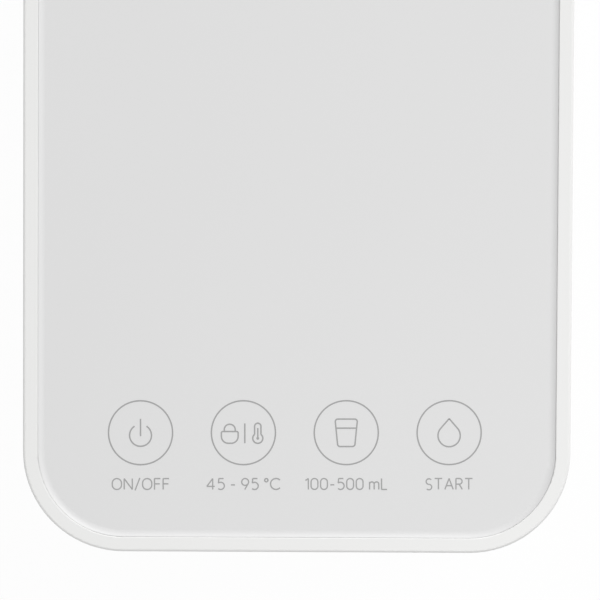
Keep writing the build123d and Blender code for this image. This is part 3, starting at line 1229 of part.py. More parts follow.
def tank_cover():
    """The white cover of the tank, with seats for the handle and the fill flap."""
    cover = cover_top()
    cover -= slab(rear_plan(WALL), BAND_Z - CUT, HANDLE_FLOOR - WALL)
    cover -= slab(rear_plan(HANDLE_INNER + WALL), BAND_Z - CUT, BODY_HEIGHT - WALL)
    cover += cover_skirt()
    half, frame_bottom = FLAP_WIDTH / 2, BODY_HEIGHT - FLAP_FRAME_DEPTH
    cover += cover_block(half + FLAP_FRAME, FLAP_FRONT - FLAP_FRAME, HINGE_Y + 2 * FLAP_FRAME, frame_bottom)
    scoop_front = TANK_FRONT + HANDLE_WIDTH
    scoop_back = FLAP_FRONT + SCOOP_OVERLAP
    scoop_floor = BODY_HEIGHT - SCOOP_DEPTH
    box_half = SCOOP_WIDTH / 2 + SCOOP_WALL
    box_front = TANK_FRONT + HANDLE_INNER
    cover += cover_block(box_half, box_front, scoop_back + SCOOP_WALL, scoop_floor - SCOOP_WALL)
    cover -= cover_block(SCOOP_WIDTH / 2, scoop_front, scoop_back, scoop_floor)
    hinge_front = HINGE_Y - HINGE_CLEARANCE + 3 * FLAP_GAP
    cover -= slab(flap_plan(FLAP_GAP, hinge_front), FLAP_Z - FIT, BODY_HEIGHT + CUT)
    hole_back = FLAP_BACK - FLAP_LEDGE
    cover -= cover_block(half - FLAP_LEDGE, FLAP_FRONT + FLAP_FRONT_LEDGE, hole_back, BAND_Z)
    knuckle_half = KNUCKLE_WIDTH / 2 + FLAP_GAP
    pocket_floor = HINGE_Z - KNUCKLE_RADIUS - 2 * FIT
    cover -= cover_block(knuckle_half, FLAP_BACK, HINGE_Y + FLAP_FRAME, pocket_floor)
    cover -= hinge_bar(FLAP_PIN_RADIUS + RUNNING_FIT, KNUCKLE_WIDTH / 2 + FLAP_PIN_GRIP + FIT)
    pin_in = SIDE - HANDLE_INNER - HANDLE_PIN_GRIP - FIT
    boss_y, boss_z = about(PIVOT_Y, HANDLE_HEIGHT + WALL), (HANDLE_FLOOR - WALL, BODY_HEIGHT - WALL / 2)
    for side in (-1, 1):
        boss_x = sorted((side * (SIDE - HANDLE_INNER), side * (pin_in - WALL)))
        cover += block(boss_x, boss_y, boss_z)
        cover -= pivot_bar(HANDLE_PIN_RADIUS + RUNNING_FIT, side * pin_in, side * SIDE)
    return cover


def cover_seal():
    """The soft ring in the skirt's groove."""
    top = BAND_Z - SEAL_DROP
    band = slab(rear_plan(WALL + FIT), top - SEAL_HEIGHT, top)
    inner = WALL + SKIRT_GAP + SEAL_GROOVE - RUNNING_FIT
    return band - slab(rear_plan(inner), top - 2 * SEAL_HEIGHT, BAND_Z)


def fill_flap():
    """The filling lid, hinged at the back and lifted by its front edge."""
    flap = slab(flap_plan(0, FLAP_BACK), FLAP_Z, BODY_HEIGHT)
    knuckle_half = KNUCKLE_WIDTH / 2
    tongue_top = HINGE_Z + KNUCKLE_RADIUS - FIT
    flap += block((-knuckle_half, knuckle_half), (FLAP_BACK - FLAP_CORNER, HINGE_Y), (FLAP_Z, tongue_top))
    flap += hinge_bar(KNUCKLE_RADIUS, knuckle_half)
    return flap - hinge_bar(FLAP_PIN_RADIUS + RUNNING_FIT, SIDE)


def flap_pin():
    """The steel pin of the fill flap."""
    return hinge_bar(FLAP_PIN_RADIUS, KNUCKLE_WIDTH / 2 + FLAP_PIN_GRIP)


def carry_handle():
    """The bail that lies flush round the front of the tank cover."""
    bottom = BODY_HEIGHT - HANDLE_HEIGHT
    bail = slab(rear_plan(0), bottom, BODY_HEIGHT)
    bail = fillet(bail.edges().group_by(Axis.Z)[-1], RIM_ROUND)
    bail -= slab(rear_plan(HANDLE_WIDTH), bottom - CUT, BODY_HEIGHT + CUT)
    bail -= slab(strip(PIVOT_Y, REAR + CUT), bottom - CUT, BODY_HEIGHT + CUT)
    for side in (-1, 1):
        bail += pivot_bar(HANDLE_HEIGHT / 2, side * (SIDE - HANDLE_WIDTH), side * SIDE)
    return bail - pivot_bar(HANDLE_PIN_RADIUS + RUNNING_FIT, -SIDE - CUT, SIDE + CUT)


def handle_pins():
    """The two pins that the handle turns on."""
    inner, outer = SIDE - HANDLE_INNER - HANDLE_PIN_GRIP, SIDE - HANDLE_PIN_INSET
    return group(pivot_bar(HANDLE_PIN_RADIUS, side * inner, side * outer) for side in (-1, 1))


def tray_outline(inset):
    """The drip tray's outline, drawn in by an inset."""
    outline = plan(inset) & strip(FRONT - CUT, TRAY_BACK - inset)
    return fillet(outline.vertices().sort_by(Axis.Y)[-2:], TRAY_CORNER)


def drip_tray():
    """The drawer that forms the front of the base and catches drips."""
    tray = slab(tray_outline(0), TRAY_BOTTOM, DECK_HEIGHT)
    tray = fillet(tray.edges().group_by(Axis.Z)[0], TRAY_ROUND)
    tray -= slab(tray_outline(TRAY_WALL), TRAY_BOTTOM + TRAY_FLOOR, DECK_HEIGHT + CUT)
    tray -= slab(tray_outline(GRID_RIM), DECK_HEIGHT - GRID_REBATE, DECK_HEIGHT + CUT)
    for x in mirrored_x(SKID_X):
        skid = (TRAY_BOTTOM - SKID_DEPTH, TRAY_BOTTOM + TRAY_FLOOR / 2)
        tray += block(about(x, SKID_WIDTH), (FRONT + CORNER_RADIUS, TRAY_BACK - CORNER_RADIUS), skid)
    return tray


def drip_grid():
    """The slotted steel plate that cups stand on."""
    bottom = DECK_HEIGHT - GRID_REBATE
    grid = slab(tray_outline(GRID_RIM + FIT), bottom, bottom + GRID_THICKNESS)
    middle = (FRONT + TRAY_BACK) / 2
    slots = Sketch()
    for index in range(SLOT_COUNT):
        y = middle + (index - (SLOT_COUNT - 1) / 2) * SLOT_PITCH
        slots += Pos(0, y) * Rectangle(BODY_WIDTH, SLOT_WIDTH)
    return grid - slab(slots & tray_outline(SLOT_MARGIN), bottom - CUT, bottom + GRID_THICKNESS + CUT)


PIECES = (
    base_plate, rubber_feet, base_screws, body_shell, rear_cover, rear_cover_screws,
    top_bezel, top_plate, touch_board, touch_springs, display_module,
    spout_shroud, spout_nozzle, outlet_chamber, chamber_screws,
    heater_tube, heater_lower_cap, heater_upper_cap, heater_seals, heater_tie_rods,
    heater_stand, thermal_cutouts, outlet_probe,
    pump_housing, pump_stator, pump_can, pump_rotor, pump_volute, pump_cradle,
    flow_meter_body, flow_meter_cap, flow_rotor,
    dock_hose, pump_inlet_hose, riser_hose, outlet_hose,
    power_board, power_board_parts, heat_sink, reed_sensor, cord_gland,
    tank_dock, dock_seal, tank_shell, valve_body, valve_nut, valve_plunger, valve_spring, valve_cage,
    float_rod, tank_float, tank_cover, cover_seal, fill_flap, flap_pin, carry_handle, handle_pins,
    drip_tray, drip_grid,
)

os.makedirs("parts", exist_ok=True)
for piece in PIECES:
    export_step(piece(), os.path.join("parts", piece.__name__ + ".step"))
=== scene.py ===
from math import asin, atan2, cos, degrees, pi, radians, sin, tan

import bmesh
import bpy
from mathutils import Matrix, Vector


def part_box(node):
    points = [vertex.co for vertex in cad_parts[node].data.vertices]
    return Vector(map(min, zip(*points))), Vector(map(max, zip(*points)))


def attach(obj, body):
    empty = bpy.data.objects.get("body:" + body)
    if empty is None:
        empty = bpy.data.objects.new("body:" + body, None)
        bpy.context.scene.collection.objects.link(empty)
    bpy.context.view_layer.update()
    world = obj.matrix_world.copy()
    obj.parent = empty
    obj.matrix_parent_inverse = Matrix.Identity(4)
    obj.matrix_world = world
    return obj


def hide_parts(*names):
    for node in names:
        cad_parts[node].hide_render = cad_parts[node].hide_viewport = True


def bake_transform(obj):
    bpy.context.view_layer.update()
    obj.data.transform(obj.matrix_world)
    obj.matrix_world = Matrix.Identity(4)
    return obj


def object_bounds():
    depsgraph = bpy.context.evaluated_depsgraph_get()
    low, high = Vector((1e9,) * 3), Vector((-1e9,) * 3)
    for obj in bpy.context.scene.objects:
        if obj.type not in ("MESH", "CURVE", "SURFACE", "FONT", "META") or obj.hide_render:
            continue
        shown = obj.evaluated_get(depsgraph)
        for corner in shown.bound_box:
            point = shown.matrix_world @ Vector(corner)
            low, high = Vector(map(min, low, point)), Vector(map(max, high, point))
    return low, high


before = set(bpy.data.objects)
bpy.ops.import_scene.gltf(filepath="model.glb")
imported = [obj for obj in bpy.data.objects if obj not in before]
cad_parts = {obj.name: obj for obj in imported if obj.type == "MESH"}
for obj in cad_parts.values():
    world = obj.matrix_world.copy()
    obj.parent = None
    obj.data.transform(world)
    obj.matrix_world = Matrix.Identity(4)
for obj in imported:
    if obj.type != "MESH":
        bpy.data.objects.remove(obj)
cad_low, cad_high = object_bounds()

# Feet
# Four black rubber discs, moulded in one piece and pressed into seats in the base plate.
# The rubber is matt and picks up a little pale dust, so it is never quite black.
MM = 0.001


def linear(code):
    """An sRGB hex colour as linear red, green, blue and alpha."""
    shares = [int(code[place : place + 2], 16) / 255 for place in (1, 3, 5)]
    return [*(s / 12.92 if s <= 0.04045 else ((s + 0.055) / 1.055) ** 2.4 for s in shares), 1.0]


def add(tree, kind, inputs=(), **settings):
    """Adds a shader node. Each input takes a plain value or the socket that feeds it.

    An input goes by its name, or by its number where a node has several of one name.
    """
    made = tree.nodes.new("ShaderNode" + kind)
    for name, value in settings.items():
        setattr(made, name, value)
    for name, value in dict(inputs).items():
        if isinstance(value, bpy.types.NodeSocket):
            tree.links.new(value, made.inputs[name])
        else:
            made.inputs[name].default_value = value
    return made


def blank(name):
    """A new material with an empty node tree."""
    material = bpy.data.materials.new(name)
    material.use_nodes = True
    material.node_tree.nodes.clear()
    return material, material.node_tree


def moulded(name, pale, dark, roughness, grain, relief, cloud=40 * MM, ior=1.5):
    """A moulded plastic or rubber: two near tones in slow clouds under the grain of the mould's face.

    The grain is drawn coarser than a real one, so that it shows.
    """
    drift = 0.05  # change of roughness over the grain
    material, tree = blank(name)
    place = add(tree, "TexCoord").outputs["Object"]
    clouds = add(tree, "TexNoise", {"Vector": place, "Scale": 1 / cloud, "Detail": 2.0}).outputs[0]
    tone = add(tree, "Mix", {0: clouds, 6: linear(dark), 7: linear(pale)}, data_type="RGBA").outputs[2]
    speckle = add(tree, "TexNoise", {"Vector": place, "Scale": 1 / grain, "Detail": 1.0}).outputs[0]
    gloss = {"Value": speckle, "To Min": roughness - drift, "To Max": roughness + drift}
    matt = add(tree, "MapRange", gloss).outputs[0]
    bump = add(tree, "Bump", {"Height": speckle, "Strength": 0.4, "Distance": relief}).outputs[0]
    looks = {"Base Color": tone, "Roughness": matt, "Normal": bump, "IOR": ior}
    surface = add(tree, "BsdfPrincipled", looks).outputs[0]
    add(tree, "OutputMaterial", {"Surface": surface})
    return material


def dress(material, *names):
    """Gives CAD pieces their finish."""
    for name in names:
        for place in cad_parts[name].material_slots:
            place.material = material


black_rubber = moulded(
    "black_rubber", "#343435", "#262627", 0.72, grain=0.5 * MM, relief=0.02 * MM, cloud=9 * MM, ior=1.52
)
dress(black_rubber, "rubber_feet", "pump_cradle", "cord_gland")

# Base plate and its screws
# The floor of the body is grey ABS with a spark-eroded face, held by zinc plated steel screws from below.
# The plating is a soft grey metal with a faint crystalline bloom.
grey_abs = moulded(
    "grey_abs_spark_eroded", "#B2B4B6", "#A9ABAD", 0.5, grain=0.45 * MM, relief=0.015 * MM, ior=1.53
)
dress(grey_abs, "base_plate", "spout_shroud")


def plated(name, pale, dark, roughness, bloom):
    """A plated or cast metal: tones and gloss change from one crystal patch to the next.

    The patches are drawn larger than real ones, so that they show.
    """
    drift = 0.06  # change of roughness from patch to patch
    material, tree = blank(name)
    place = add(tree, "TexCoord").outputs["Object"]
    patches = add(tree, "TexVoronoi", {"Vector": place, "Scale": 1 / bloom}).outputs["Color"]
    share = add(tree, "SeparateColor", {"Color": patches}).outputs[0]
    tone = add(tree, "Mix", {0: share, 6: linear(dark), 7: linear(pale)}, data_type="RGBA").outputs[2]
    gloss = {"Value": share, "To Min": roughness - drift, "To Max": roughness + drift}
    matt = add(tree, "MapRange", gloss).outputs[0]
    looks = {"Base Color": tone, "Metallic": 1.0, "Roughness": matt}
    surface = add(tree, "BsdfPrincipled", looks).outputs[0]
    add(tree, "OutputMaterial", {"Surface": surface})
    return material


zinc = plated("zinc_plated_steel", "#CBCDD0", "#B9BBBF", 0.36, bloom=0.6 * MM)
dress(zinc, "base_screws", "rear_cover_screws", "chamber_screws", "handle_pins", "heater_tie_rods")

# Heater
# A drawn steel tube between two black PPS caps, pulled together by tie rods and carried on a folded bracket.
# The tube keeps fine lengthwise drawing lines, and the caps are matt from their glass filling.


def brushed(name, pale, dark, roughness, line, stretch):
    """A brushed or drawn metal: fine lines that are stretched along one axis.

    The lines are drawn wider than real scratches, so that they show.
    """
    drift = 0.1  # change of roughness from line to line
    material, tree = blank(name)
    place = add(tree, "TexCoord").outputs["Object"]
    scale = [1 / (line * factor) for factor in stretch]
    turned = add(tree, "Mapping", {"Vector": place, "Scale": scale}).outputs[0]
    lines = add(tree, "TexNoise", {"Vector": turned, "Scale": 1.0, "Detail": 3.0}).outputs[0]
    tone = add(tree, "Mix", {0: lines, 6: linear(dark), 7: linear(pale)}, data_type="RGBA").outputs[2]
    gloss = {"Value": lines, "To Min": roughness - drift, "To Max": roughness + drift}
    matt = add(tree, "MapRange", gloss).outputs[0]
    bump = add(tree, "Bump", {"Height": lines, "Strength": 0.3, "Distance": 0.01 * MM}).outputs[0]
    looks = {"Base Color": tone, "Metallic": 1.0, "Roughness": matt, "Normal": bump}
    surface = add(tree, "BsdfPrincipled", looks).outputs[0]
    add(tree, "OutputMaterial", {"Surface": surface})
    return material


drawn_steel = brushed(
    "drawn_stainless_steel", "#D5D4D1", "#B4B3B0", 0.32, line=0.4 * MM, stretch=(1, 1, 60)
)
dress(drawn_steel, "heater_tube", "heater_stand", "outlet_probe")
black_pps = moulded(
    "black_pps", "#2F3032", "#242527", 0.5, grain=0.4 * MM, relief=0.01 * MM, cloud=12 * MM, ior=1.6
)
dress(black_pps, "heater_lower_cap", "heater_upper_cap", "thermal_cutouts", "pump_housing", "reed_sensor")

# Pump and flow meter
# A black housing round copper windings, with a nylon can, impeller and volute, and a nylon flow turbine.
# Natural nylon is a warm, slightly waxy white, and the enamelled wire keeps the gloss and colour of copper.
nylon = moulded(
    "natural_nylon", "#EEECE4", "#E5E3DA", 0.42, grain=0.4 * MM, relief=0.01 * MM, cloud=15 * MM, ior=1.53
)
dress(nylon, "pump_can", "pump_rotor", "pump_volute", "flow_meter_body", "flow_meter_cap", "flow_rotor")
copper_wire = brushed(
    "enamelled_copper_wire", "#C07A46", "#8A4E28", 0.35, line=0.5 * MM, stretch=(1, 30, 1)
)
dress(copper_wire, "pump_stator")

# Hoses and seals
# Clear silicone hose pushed over the spigots, and grey silicone rings where the water line is sealed.
# Clear silicone is milky: light goes through it but nothing behind it is sharp.


def milky(name, colour, roughness, clear, ior):
    """A cloudy see-through rubber with faint flow marks."""
    drift, flow_width = 0.05, 6 * MM  # change of roughness from mark to mark, and how wide they are
    material, tree = blank(name)
    place = add(tree, "TexCoord").outputs["Object"]
    flow = add(tree, "TexNoise", {"Vector": place, "Scale": 1 / flow_width, "Detail": 2.0}).outputs[0]
    gloss = {"Value": flow, "To Min": roughness - drift, "To Max": roughness + drift}
    matt = add(tree, "MapRange", gloss).outputs[0]
    looks = {"Base Color": linear(colour), "Roughness": matt, "Transmission Weight": clear, "IOR": ior}
    surface = add(tree, "BsdfPrincipled", looks).outputs[0]
    add(tree, "OutputMaterial", {"Surface": surface})
    return material


clear_silicone = milky("clear_silicone", "#EEF0EE", 0.35, clear=0.7, ior=1.41)
dress(clear_silicone, "dock_hose", "pump_inlet_hose", "riser_hose", "outlet_hose")
grey_silicone = moulded(
    "grey_silicone", "#9B9D9F", "#8F9193", 0.55, grain=0.4 * MM, relief=0.01 * MM, cloud=8 * MM, ior=1.41
)
dress(grey_silicone, "heater_seals", "dock_seal", "cover_seal", "spout_nozzle")

# Electrics
# Glass epoxy boards under glossy green resist, with copper showing through as lighter tracks and tinned
# pads, drawn about twice as coarse as real ones, to show. They carry black polyamide parts, a dull silver
# heat sink of extruded aluminium and bright sprung contacts.


def circuit_board(name, resist, track, tin, pitch):
    """Green solder resist over rows of copper tracks, with tinned pads.

    The rows are turned to lie between level and upright, so that both kinds of board show them.
    """
    tilt = (radians(45), 0, 0)
    track_width, track_length, row_shift = 0.14 * pitch, 5 * pitch, 0.37
    pad_spacing, pad_share = 3 * pitch, 0.16
    material, tree = blank(name)
    place = add(tree, "TexCoord").outputs["Object"]
    turned = add(tree, "Mapping", {"Vector": place, "Rotation": tilt}).outputs[0]
    sizes = {"Scale": 1.0, "Mortar Size": track_width, "Brick Width": track_length, "Row Height": pitch}
    tones = {"Color1": linear(resist), "Color2": linear(resist), "Mortar": linear(track)}
    rows = add(tree, "TexBrick", {"Vector": turned, **sizes, **tones}, offset=row_shift).outputs
    dots = add(tree, "TexVoronoi", {"Vector": place, "Scale": 1 / pad_spacing}).outputs["Distance"]
    pads = add(tree, "Math", {0: dots, 1: pad_share}, operation="LESS_THAN").outputs[0]
    tone = add(tree, "Mix", {0: pads, 6: rows["Color"], 7: linear(tin)}, data_type="RGBA").outputs[2]
    raised = add(tree, "Math", {0: rows["Fac"], 1: pads}, operation="MAXIMUM").outputs[0]
    bump = add(tree, "Bump", {"Height": raised, "Strength": 0.4, "Distance": 0.03 * MM}).outputs[0]
    looks = {"Base Color": tone, "Metallic": pads, "Roughness": 0.28, "Normal": bump}
    surface = add(tree, "BsdfPrincipled", looks).outputs[0]
    add(tree, "OutputMaterial", {"Surface": surface})
    return material


green_board = circuit_board("green_solder_resist", "#1E5A35", "#2F7D4C", "#C4C6C8", pitch=1.6 * MM)
dress(green_board, "touch_board", "power_board")
black_polyamide = moulded(
    "black_polyamide", "#303133", "#252628", 0.45, grain=0.4 * MM, relief=0.01 * MM, cloud=6 * MM
)
dress(black_polyamide, "power_board_parts", "display_module")
dress(plated("extruded_aluminium", "#D9DADC", "#C6C8CA", 0.4, bloom=1.2 * MM), "heat_sink")
spring_steel = plated("bright_spring_steel", "#C9CACC", "#AFB1B4", 0.25, bloom=0.8 * MM)
dress(spring_steel, "touch_springs", "flap_pin")

# Body
# The white one-piece moulding of column, head and plinth, with its rear cover. The ABS is moulded on a
# fine satin face, so it is even and white with soft highlights along the rounded edges.
white_abs = moulded(
    "white_abs_satin", "#ECECEB", "#E9E9E8", 0.42, grain=0.35 * MM, relief=0.004 * MM, cloud=70 * MM, ior=1.53
)
dress(white_abs, "body_shell", "rear_cover", "top_bezel")

# Outlet
# The separator above the nozzle lets steam out of the water. It is moulded from natural nylon, as the pump's
# pieces are, and screwed to bosses in the head.
dress(nylon, "outlet_chamber")

# Touch panel
# A light grey panel of hard-coated acrylic with a satin face. It lies in the white frame of the head and
# turns up round its edge, which catches the light on one side and falls into shade on the other.
panel_acrylic = moulded(
    "grey_acrylic_satin", "#DFDFDF", "#DDDDDD", 0.5, grain=0.3 * MM, relief=0.002 * MM, cloud=90 * MM,
    ior=1.49,
)
dress(panel_acrylic, "top_plate")

# Icons and captions
# Four touch fields, screen printed on the panel in one pass of thin grey ink: a ring with a plain
# pictogram in it, and a short caption in front of it in letters of one even stroke. Lines and letters are
# drawn in millimetres and scaled when the print is placed.
PANEL_DEPTH = 0.75 * MM  # flat of the panel below the top of the frame
PLATE_TOP = cad_high.z - PANEL_DEPTH
INK_SINK = 0.05 * MM
INK_RISE = 0.03 * MM
STROKE_STEP = 0.002  # each stroke lies a hair above the last, so that crossings stay clean
RING_LINE = 0.39
LETTER_LINE = 0.34
RING_RADIUS = 8.78
ICON_PITCH = 28.18 * MM
PRINT_SHIFT = -0.53 * MM  # middle of the row of rings, to the right
PRINT_SETBACK = 32.86 * MM  # behind the front of the head
PRINT_TURN = radians(0.3)
CAPTION_DROP = 14.1
CAPTION_CAP = 3.0
CAPTION_GAP = 0.75
ARC_STEPS = 64  # faces in a whole turn of a printed line
WELD = 0.001  # corners nearer than this are one
CAPTIONS = ("ON/OFF", "45 - 95 °C", "100-500 mL", "START")


def draw(ink, start, heading, *moves, line=RING_LINE):
    """Draws a printed line. A move is a length straight on, or a radius and a turn in degrees to the left."""
    height = max((vertex.co.z for vertex in ink.verts), default=0.0) + STROKE_STEP
    spot, angle = Vector((*start, height)), radians(heading)
    across = Vector((-sin(angle), cos(angle), 0)) * line / 2
    edge = ink.edges.new([ink.verts.new(spot - across), ink.verts.new(spot + across)])
    for move in moves:
        ahead, left = Vector((cos(angle), sin(angle), 0)), Vector((-sin(angle), cos(angle), 0))
        if isinstance(move, tuple):
            radius, turn = move[0], radians(move[1])
            centre = spot + left * (radius if turn > 0 else -radius)
            steps = max(2, round(ARC_STEPS * abs(turn) / (2 * pi)))
            last = bmesh.ops.spin(
                ink, geom=[edge, *edge.verts], cent=centre, axis=(0, 0, 1), angle=turn, steps=steps,
                use_merge=abs(move[1]) == 360,
            )["geom_last"]
            spot = centre + Matrix.Rotation(turn, 3, "Z") @ (spot - centre)
            angle += turn
        else:
            last = bmesh.ops.extrude_edge_only(ink, edges=[edge])["geom"]
            tips = [item for item in last if isinstance(item, bmesh.types.BMVert)]
            bmesh.ops.translate(ink, verts=tips, vec=ahead * move)
            spot = spot + ahead * move
        edge = next((item for item in last if isinstance(item, bmesh.types.BMEdge)), edge)


def ring(ink, x, y, radius):
    """A closed printed circle."""
    draw(ink, (x + radius, y), 90, (radius, 360))


def power_icon(ink):
    """A circle open at the top, with an upright stroke in the gap."""
    radius, middle, gap, tip, stroke = 3.0, -0.72, 33.0, 3.81, 4.75
    start = (radius * sin(radians(gap)), middle + radius * cos(radians(gap)))
    draw(ink, start, -gap, (radius, 2 * gap - 360))
    draw(ink, (0, tip), 270, stroke)


def lock_icon(ink):
    """A padlock, a divider and a thermometer."""
    x, half, top, corner, side, heel, shackle, leg = -3.74, 2.3, 0.33, 0.4, 0.93, 1.9, 1.5, 0.5
    edge, sole, bend, turn = half - corner, 2 * (half - heel), (corner, -90), (heel, -90)
    draw(ink, (x, top), 0, edge, bend, side, turn, sole, turn, side, bend, edge)
    draw(ink, (x + shackle, top), 90, leg, (shackle, 180), leg)
    divider, divider_top, divider_length = 0.38, 2.54, 5.44
    draw(ink, (divider, divider_top), 270, divider_length)
    x, stem, bulb, foot, head, thread = 3.94, 0.87, 1.38, -1.53, 1.74, 2.8
    joint = asin(stem / bulb)
    neck = foot + bulb * cos(joint)
    draw(ink, (x + stem, neck), 90, head - neck, (stem, 180), head - neck)
    draw(ink, (x - stem, neck), 180 + degrees(joint), (bulb, 360 - 2 * degrees(joint)))
    draw(ink, (x, foot + thread), 270, thread)
    ring(ink, x, foot, RING_LINE / 2)


def cup_icon(ink):
    """A beaker with a level line."""
    top, bottom, wide, narrow, corner, level = 3.73, -3.81, 3.08, 2.32, 0.7, 1.24
    lean = atan2(wide - narrow, top - bottom)
    upper, lower = (corner * tan((pi / 2 + swing) / 2) for swing in (lean, -lean))
    side = (top - bottom) / cos(lean) - upper - lower
    for hand, heading in ((-1, 0), (1, 180)):
        shoulder, heel = (corner, hand * (90 + degrees(lean))), (corner, hand * (90 - degrees(lean)))
        draw(ink, (0, top), heading, wide - upper, shoulder, side, heel, narrow - lower)
    half = wide - (top - level) * tan(lean)
    draw(ink, (-half, level), 0, 2 * half)


def drop_icon(ink):
    """A water drop."""
    apex, middle, radius = 3.85, -0.82, 3.05
    half = asin(radius / (apex - middle))
    run = radius / tan(half)
    draw(ink, (0, apex), 270 + degrees(half), run, (radius, -180 - 2 * degrees(half)), run)


# Each letter is its width and its strokes, in cap heights. A stroke runs between two points, or starts at
# a place and heading and goes on by moves.
LETTERS = {
    " ": (0.1,),
    "-": (0.4, ((0.02, 0.42), (0.38, 0.42))),
    "/": (0.44, ((0, -0.08), (0.44, 1.06))),
    "°": (0.3, (0.3, 0.85, 90, (0.15, 360))),
    "0": (0.62, (0.62, 0.31, 90, 0.38, (0.31, 180), 0.38, (0.31, 180))),
    "1": (0.26, ((0.26, 0), (0.26, 1)), ((0, 0.82), (0.26, 1))),
    "2": (0.6, (0.02, 0.8, 80, (0.29, -215), 0.66), ((0, 0), (0.6, 0))),
    "3": (0.58, (0.05, 0.88, 55, (0.25, -235)), (0.29, 0.52, 0, (0.26, -235))),
    "4": (0.72, ((0.54, 0), (0.54, 1)), ((0.54, 1), (0, 0.28)), ((0, 0.28), (0.72, 0.28))),
    "5": (0.62, ((0.13, 1), (0.56, 1)), ((0.13, 1), (0.09, 0.58)), (0.09, 0.58, 40, (0.33, -262))),
    "9": (0.63, (0.63, 0.69, 90, (0.315, 360)), ((0.59, 0.53), (0.28, 0))),
    "A": (0.76, ((0, 0), (0.38, 1)), ((0.38, 1), (0.76, 0)), ((0.13, 0.34), (0.63, 0.34))),
    "C": (0.86, (0.84, 0.86, 135, (0.5, 270))),
    "F": (0.54, ((0, 0), (0, 1)), ((0, 1), (0.54, 1)), ((0, 0.52), (0.48, 0.52))),
    "L": (0.5, ((0, 1), (0, 0)), ((0, 0), (0.5, 0))),
    "N": (0.74, ((0, 0), (0, 1)), ((0, 1), (0.74, 0)), ((0.74, 0), (0.74, 1))),
    "O": (0.84, (0.84, 0.42, 90, 0.16, (0.42, 180), 0.16, (0.42, 180))),
    "R": (0.58, ((0, 0), (0, 1)), (0, 1, 0, 0.3, (0.26, -180), 0.3), ((0.3, 0.48), (0.58, 0))),
    "S": (0.58, (0.5, 0.88, 130, (0.255, 230), (0.25, -230))),
    "T": (0.68, ((0, 1), (0.68, 1)), ((0.34, 0), (0.34, 1))),
    "m": (0.84, ((0, 0), (0, 0.7)), (0, 0.48, 90, (0.21, -180), 0.48), (0.42, 0.48, 90, (0.21, -180), 0.48)),
}


def write(ink, words, cap, gap, left, base, line=LETTER_LINE):
    """Writes words with the pen from a left end along a base line, with an even gap between the letters."""
    for letter in words:
        width, *strokes = LETTERS[letter]
        for stroke in strokes:
            if isinstance(stroke[0], tuple):
                start, end = (Vector((left, base)) + Vector(point) * cap for point in stroke)
                run = end - start
                draw(ink, start, degrees(atan2(run.y, run.x)), run.length, line=line)
            else:
                start, heading = (left + stroke[0] * cap, base + stroke[1] * cap), stroke[2]
                moves = [(m[0] * cap, m[1]) if isinstance(m, tuple) else m * cap for m in stroke[3:]]
                draw(ink, start, heading, *moves, line=line)
        left += width * cap + gap


def printed(name, ink, place, material, body):
    """Gives a flat print its thickness and place, and fixes it to the body that carries it."""
    bmesh.ops.remove_doubles(ink, verts=ink.verts, dist=WELD)
    ink.normal_update()
    bmesh.ops.reverse_faces(ink, faces=[face for face in ink.faces if face.normal.z < 0])
    bmesh.ops.scale(ink, vec=(MM, MM, MM), verts=ink.verts)
    bmesh.ops.solidify(ink, geom=ink.faces[:], thickness=INK_SINK + INK_RISE)
    bmesh.ops.recalc_face_normals(ink, faces=ink.faces[:])
    lowest = min(vertex.co.z for vertex in ink.verts)
    bmesh.ops.translate(ink, verts=ink.verts, vec=(0, 0, -lowest - INK_SINK))
    bmesh.ops.transform(ink, matrix=place, verts=ink.verts)
    mesh = bpy.data.meshes.new(name)
    ink.to_mesh(mesh)
    ink.free()
    mesh.materials.append(material)
    piece = bpy.data.objects.new(name, mesh)
    bpy.context.scene.collection.objects.link(piece)
    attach(piece, body)


grey_ink = moulded(
    "grey_screen_ink", "#A2A2A2", "#9D9D9D", 0.5, grain=0.5 * MM, relief=0.002 * MM, cloud=5 * MM
)
row_middle = Vector((PRINT_SHIFT, cad_low.y + PRINT_SETBACK, PLATE_TOP))
registered = Matrix.Translation(row_middle) @ Matrix.Rotation(PRINT_TURN, 4, "Z")
for index, pictogram in enumerate((power_icon, lock_icon, cup_icon, drop_icon)):
    from_middle = (index - (len(CAPTIONS) - 1) / 2) * ICON_PITCH
    field = registered @ Matrix.Translation((from_middle, 0, 0))
    ink = bmesh.new()
    ring(ink, 0, 0, RING_RADIUS)
    pictogram(ink)
    printed(pictogram.__name__, ink, field, grey_ink, "dispenser")
    caption = bmesh.new()
    words = CAPTIONS[index]
    span = CAPTION_CAP * sum(LETTERS[letter][0] for letter in words) + CAPTION_GAP * (len(words) - 1)
    write(caption, words, CAPTION_CAP, CAPTION_GAP, -span / 2, -CAPTION_DROP - CAPTION_CAP / 2)
    printed(pictogram.__name__ + "_caption", caption, field, grey_ink, "dispenser")

# Tank and its valve
# A clear copolyester tank with a faint smoke tint, and a nylon valve, cage and float inside it.
# The tank is blow moulded and polished, so its walls are glossy with slight waves.


def clear_wall(name, colour, roughness, ior, wave):
    """A clear moulded wall with slight waves; lamps shine through it."""
    material, tree = blank(name)
    place = add(tree, "TexCoord").outputs["Object"]
    waves = add(tree, "TexNoise", {"Vector": place, "Scale": 1 / wave, "Detail": 1.0}).outputs[0]
    bump = add(tree, "Bump", {"Height": waves, "Strength": 0.2, "Distance": 0.2 * MM}).outputs[0]
    looks = {"Base Color": linear(colour), "Roughness": roughness, "Normal": bump, "IOR": ior}
    glass = add(tree, "BsdfPrincipled", {**looks, "Transmission Weight": 1.0}).outputs[0]
    open_way = add(tree, "BsdfTransparent", {"Color": linear(colour)}).outputs[0]
    shadow = add(tree, "LightPath").outputs["Is Shadow Ray"]
    surface = add(tree, "MixShader", {0: shadow, 1: glass, 2: open_way}).outputs[0]
    add(tree, "OutputMaterial", {"Surface": surface})
    return material


